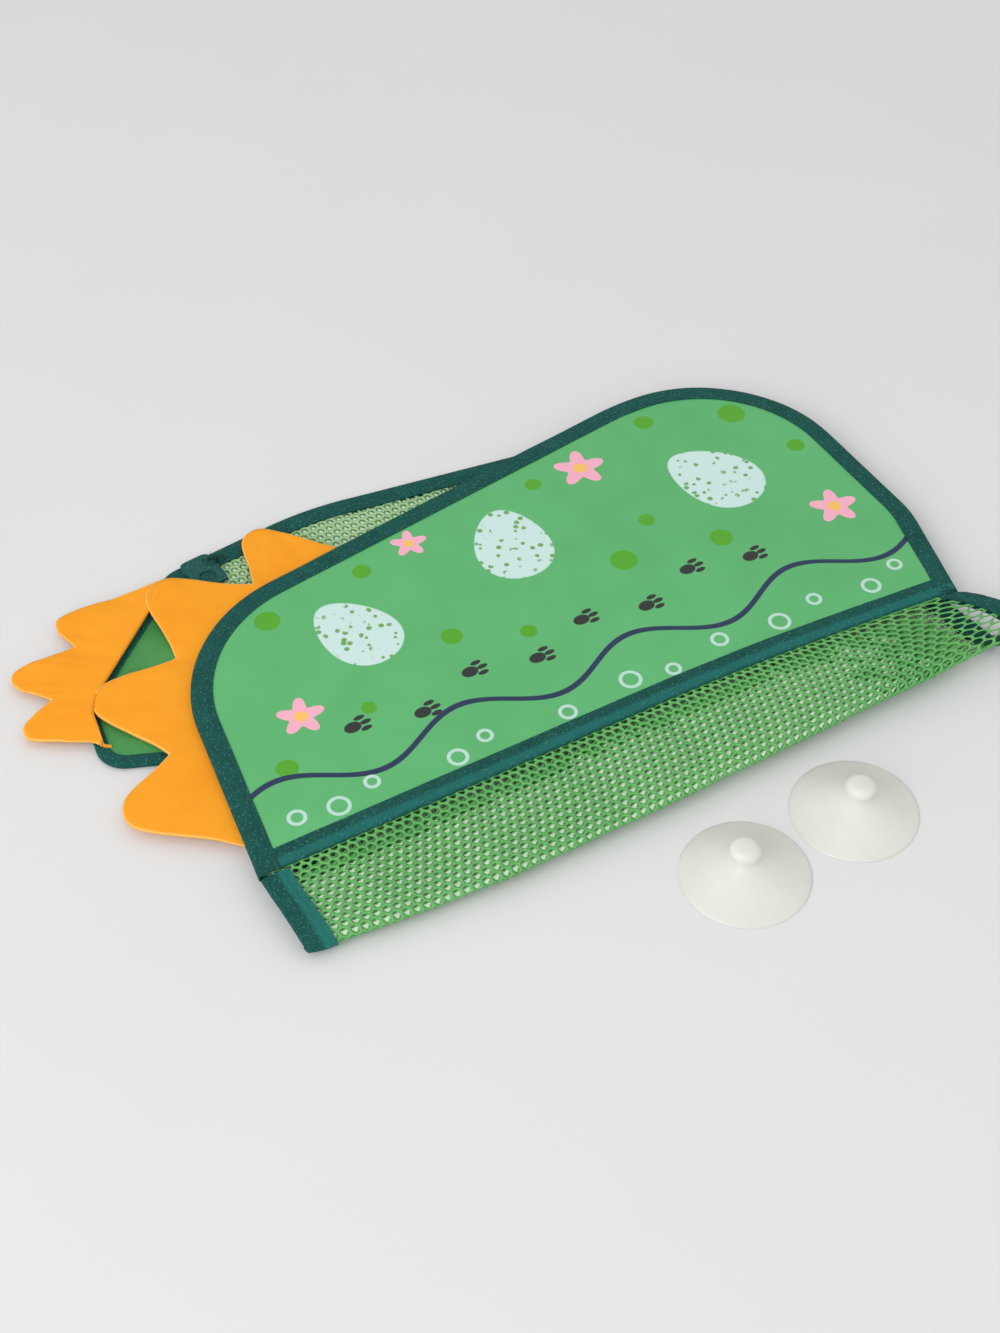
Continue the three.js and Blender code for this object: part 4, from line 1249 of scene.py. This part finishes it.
def smooth_line(points, count):
    """A line that passes through all points: Catmull-Rom pieces, cut evenly."""
    p = np.array(points, float)
    p = np.vstack([2 * p[0] - p[1], p, 2 * p[-1] - p[-2]])
    t = np.linspace(0, 1, 12, endpoint=False)[None, :, None]
    a, b, c, d = (p[k : len(p) - 3 + k, None] for k in range(4))
    curve = 0.5 * (2 * b + (c - a) * t + (2 * a - 5 * b + 4 * c - d) * t**2 + (3 * b - a - 3 * c + d) * t**3)
    return even(np.vstack([curve.reshape(-1, 2), p[-2:-1]]), count)


def cup(name, x, y, lean):
    """Profile turned about the cup's axis, from the crown under it to the knob; the soft knob leans over a little."""
    outside, hollow = smooth_line(CUP_PROFILE, 70), smooth_line(CUP_HOLLOW, 30)
    profile = np.vstack([hollow[:-1], outside])
    turn = np.linspace(0, 2 * np.pi, CUP_SIDES, endpoint=False)
    r, z = profile[:, 0][:, None], profile[:, 1][:, None]
    over_x, over_y = lean[0] * (z / CUP_HEIGHT) ** 2, lean[1] * (z / CUP_HEIGHT) ** 2
    flat = np.stack([x + over_x + r * np.cos(turn), y + over_y + r * np.sin(turn)], axis=2)
    return coat(tube(name, raised(flat, z), smooth=60), cup_vinyl)


left_cup = cup("left_cup_vinyl", 172.0, -52.0, (-2.6, -0.2))
right_cup = cup("right_cup_vinyl", 231.0, -47.0, (-0.4, -2.0))
print("cup's faces:", len(left_cup.data.polygons))

# %% [markdown]
# ## Bodies and solids
#
# Each dressed piece is told which body it moves with and which solid it stands for, and that solid is hidden.
# Gusset sheets hang between two bodies. They could ride on one of them, but would then tear off the other, so
# they ride on none.


# %% The front's pieces
def dress(made, body, nodes):
    """One piece: attached to the body it rides on, with the solids it stands for hidden."""
    if body:
        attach(made, body)
    if nodes:
        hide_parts(*nodes)


dress(front_print, "front", ["front_panel"])
dress(front_back, "front", ["front_lining"])
dress(front_tape, "front", ["front_binding"])
dress(hem_tape, "front", ["hem_binding"])
dress(front_stitches, "front", [])
dress(hem_stitches, "front", [])
dress(front_frill, "front", ["front_frill"])
print("on the front:", front_print.name, "to", front_frill.name)

# %% The pocket's nets and tapes
dress(roll_net, "pocket", ["pocket_mesh_front", "pocket_mesh_toe"])
dress(hem_net, "pocket", [])
dress(inner_net, "pocket", [])
dress(left_end_tape, "pocket", ["left_end_binding"])
dress(right_end_tape, "pocket", ["right_end_binding"])
dress(back_net, "pocket", ["back_mesh"])
dress(mouth_net, "pocket", [])
dress(back_tape, "pocket", ["back_binding"])
dress(back_stitches, "pocket", [])
print("on the pocket:", roll_net.name, "to", back_stitches.name)


# %% Gussets between the bodies
def between(made, nodes):
    """One sheet that hangs between two bodies: its place is baked into its points, it rides on no body, and the
    solids it stands for are hidden.
    """
    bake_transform(made)
    dress(made, None, nodes)


between(left_gusset_low, ["left_gusset"])
between(left_gusset_top, [])
dress(left_gusset_tape, "gussets", ["left_gusset_binding"])
dress(left_gusset_stitches, "gussets", [])
dress(side_frill, "gussets", ["side_frill"])
dress(side_stitches, "gussets", [])
between(right_gusset_low, ["right_gusset"])
between(right_gusset_top, [])
dress(right_gusset_tape, "gussets", ["right_gusset_binding"])
print("at the sides:", left_gusset_low.name, "to", right_gusset_tape.name)

# %% Tabs and cups
dress(left_tab, "pocket", ["left_cup_tab"])
dress(left_fold, "pocket", [])
dress(left_threads, "pocket", [])
dress(right_tab, "pocket", ["right_cup_tab"])
dress(left_cup, "left_cup", ["left_suction_cup"])
dress(right_cup, "right_cup", ["right_suction_cup"])

# %% [markdown]
# ## Cut sizes
#
# Cloth does not stretch when it is sewn, so the size each sheet was cut to is printed with the share of it that
# its faces cover. A net counts with the area of its strands, because that is what is there.


def area_of(made):
    """Area of all faces in square metres, before modifiers."""
    areas = np.zeros(len(made.data.polygons))
    made.data.polygons.foreach_get("area", areas)
    return float(areas.sum())


LEAST_SHARE, NET_SHARE = 0.3, 0.5


def cut(made, wide, tall, share=1.0):
    """Prints the rectangle in mm that a sheet was cut from and its flat area as a share of it: the area of its faces
    times a share, half for a net, kept between LEAST_SHARE and the whole.
    """
    flat = wide * tall / 1e6
    area = min(max(area_of(made) * share, LEAST_SHARE * flat), flat)
    print(made.name, "cut", wide, "by", tall, "mm, area share", round(area / flat, 2))


cut(front_print, 365, 184)
cut(front_back, 365, 184)
cut(front_frill, 155, 175)
cut(side_frill, 90, 88)
cut(left_gusset_low, 60, 110)
cut(left_gusset_top, 75, 112)
cut(right_gusset_low, 32, 88)
cut(right_gusset_top, 48, 84)
cut(roll_net, 353, 75, share=NET_SHARE)
cut(hem_net, 324, 30, share=NET_SHARE)
cut(inner_net, 302, 42, share=NET_SHARE)
cut(back_net, 337, 233, share=NET_SHARE)
cut(mouth_net, 300, 60, share=NET_SHARE)

# %% [markdown]
# ## Table, light and camera
#
# The organizer lies on a plain pale table. A small lamp would draw hard shadows, so one light as large as a
# window stands to the left of the camera and a pale sky fills the shadows, at a level where colours come out about
# as they were written. The camera is a 54 mm lens that looks down at the table from the front left.

# %% Table
TABLE_HALF = 3000.0
table, table_shader, table_start = finish("table", Roughness=0.85)
table_tone = noise(object_place(table_start), 6.0)
feed(table_shader, Base_Color=table_tone.mix(paint(226, 226, 227), paint(230, 230, 230)))
corners = np.array([[-1, -1, 0], [1, -1, 0], [1, 1, 0], [-1, 1, 0]]) * TABLE_HALF
floor = coat(piece("table_top", corners, np.array([[0, 1, 2, 3]])), table)
print("table's half side, mm:", TABLE_HALF)

# %% Light
SKY, LAMP_WATTS, LAMP_WIDE, LAMP_TALL = 0.74, 22.0, 1.7, 1.3
LAMP_AT = (-1.55, -0.8, 1.25)
world = bpy.data.worlds.new("studio")
bpy.context.scene.world = world
world.use_nodes = True
sky = world.node_tree.nodes["Background"]
sky.inputs["Color"].default_value = (1.0, 1.0, 1.0, 1.0)
sky.inputs["Strength"].default_value = SKY

key = bpy.data.lights.new("window", "AREA")
key.shape, key.size, key.size_y, key.energy = "RECTANGLE", LAMP_WIDE, LAMP_TALL, LAMP_WATTS
lamp = bpy.data.objects.new("window", key)
lamp.location = LAMP_AT
lamp.rotation_euler = (-lamp.location).to_track_quat("-Z", "Y").to_euler()
bpy.context.scene.collection.objects.link(lamp)
print("light at", tuple(round(c, 2) for c in lamp.location))

# %% Camera
CAMERA_AT = (-164.2, -438.7, 655.7)
CAMERA_WAY = (0.3402, 0.5970, -0.7266)
view = bpy.data.cameras.new("camera")
view.sensor_width, view.lens = 36.0, 54.0
view.clip_start, view.clip_end = 0.05, 20.0
eye = bpy.data.objects.new("camera", view)
eye.location = Vector(in_frame(CAMERA_AT))
eye.rotation_euler = Vector(CAMERA_WAY).to_track_quat("-Z", "Y").to_euler()
bpy.context.scene.collection.objects.link(eye)
bpy.context.scene.camera = eye
bpy.context.scene.view_settings.view_transform = "Standard"
print("camera at", tuple(round(c, 3) for c in eye.location))

# %% [markdown]
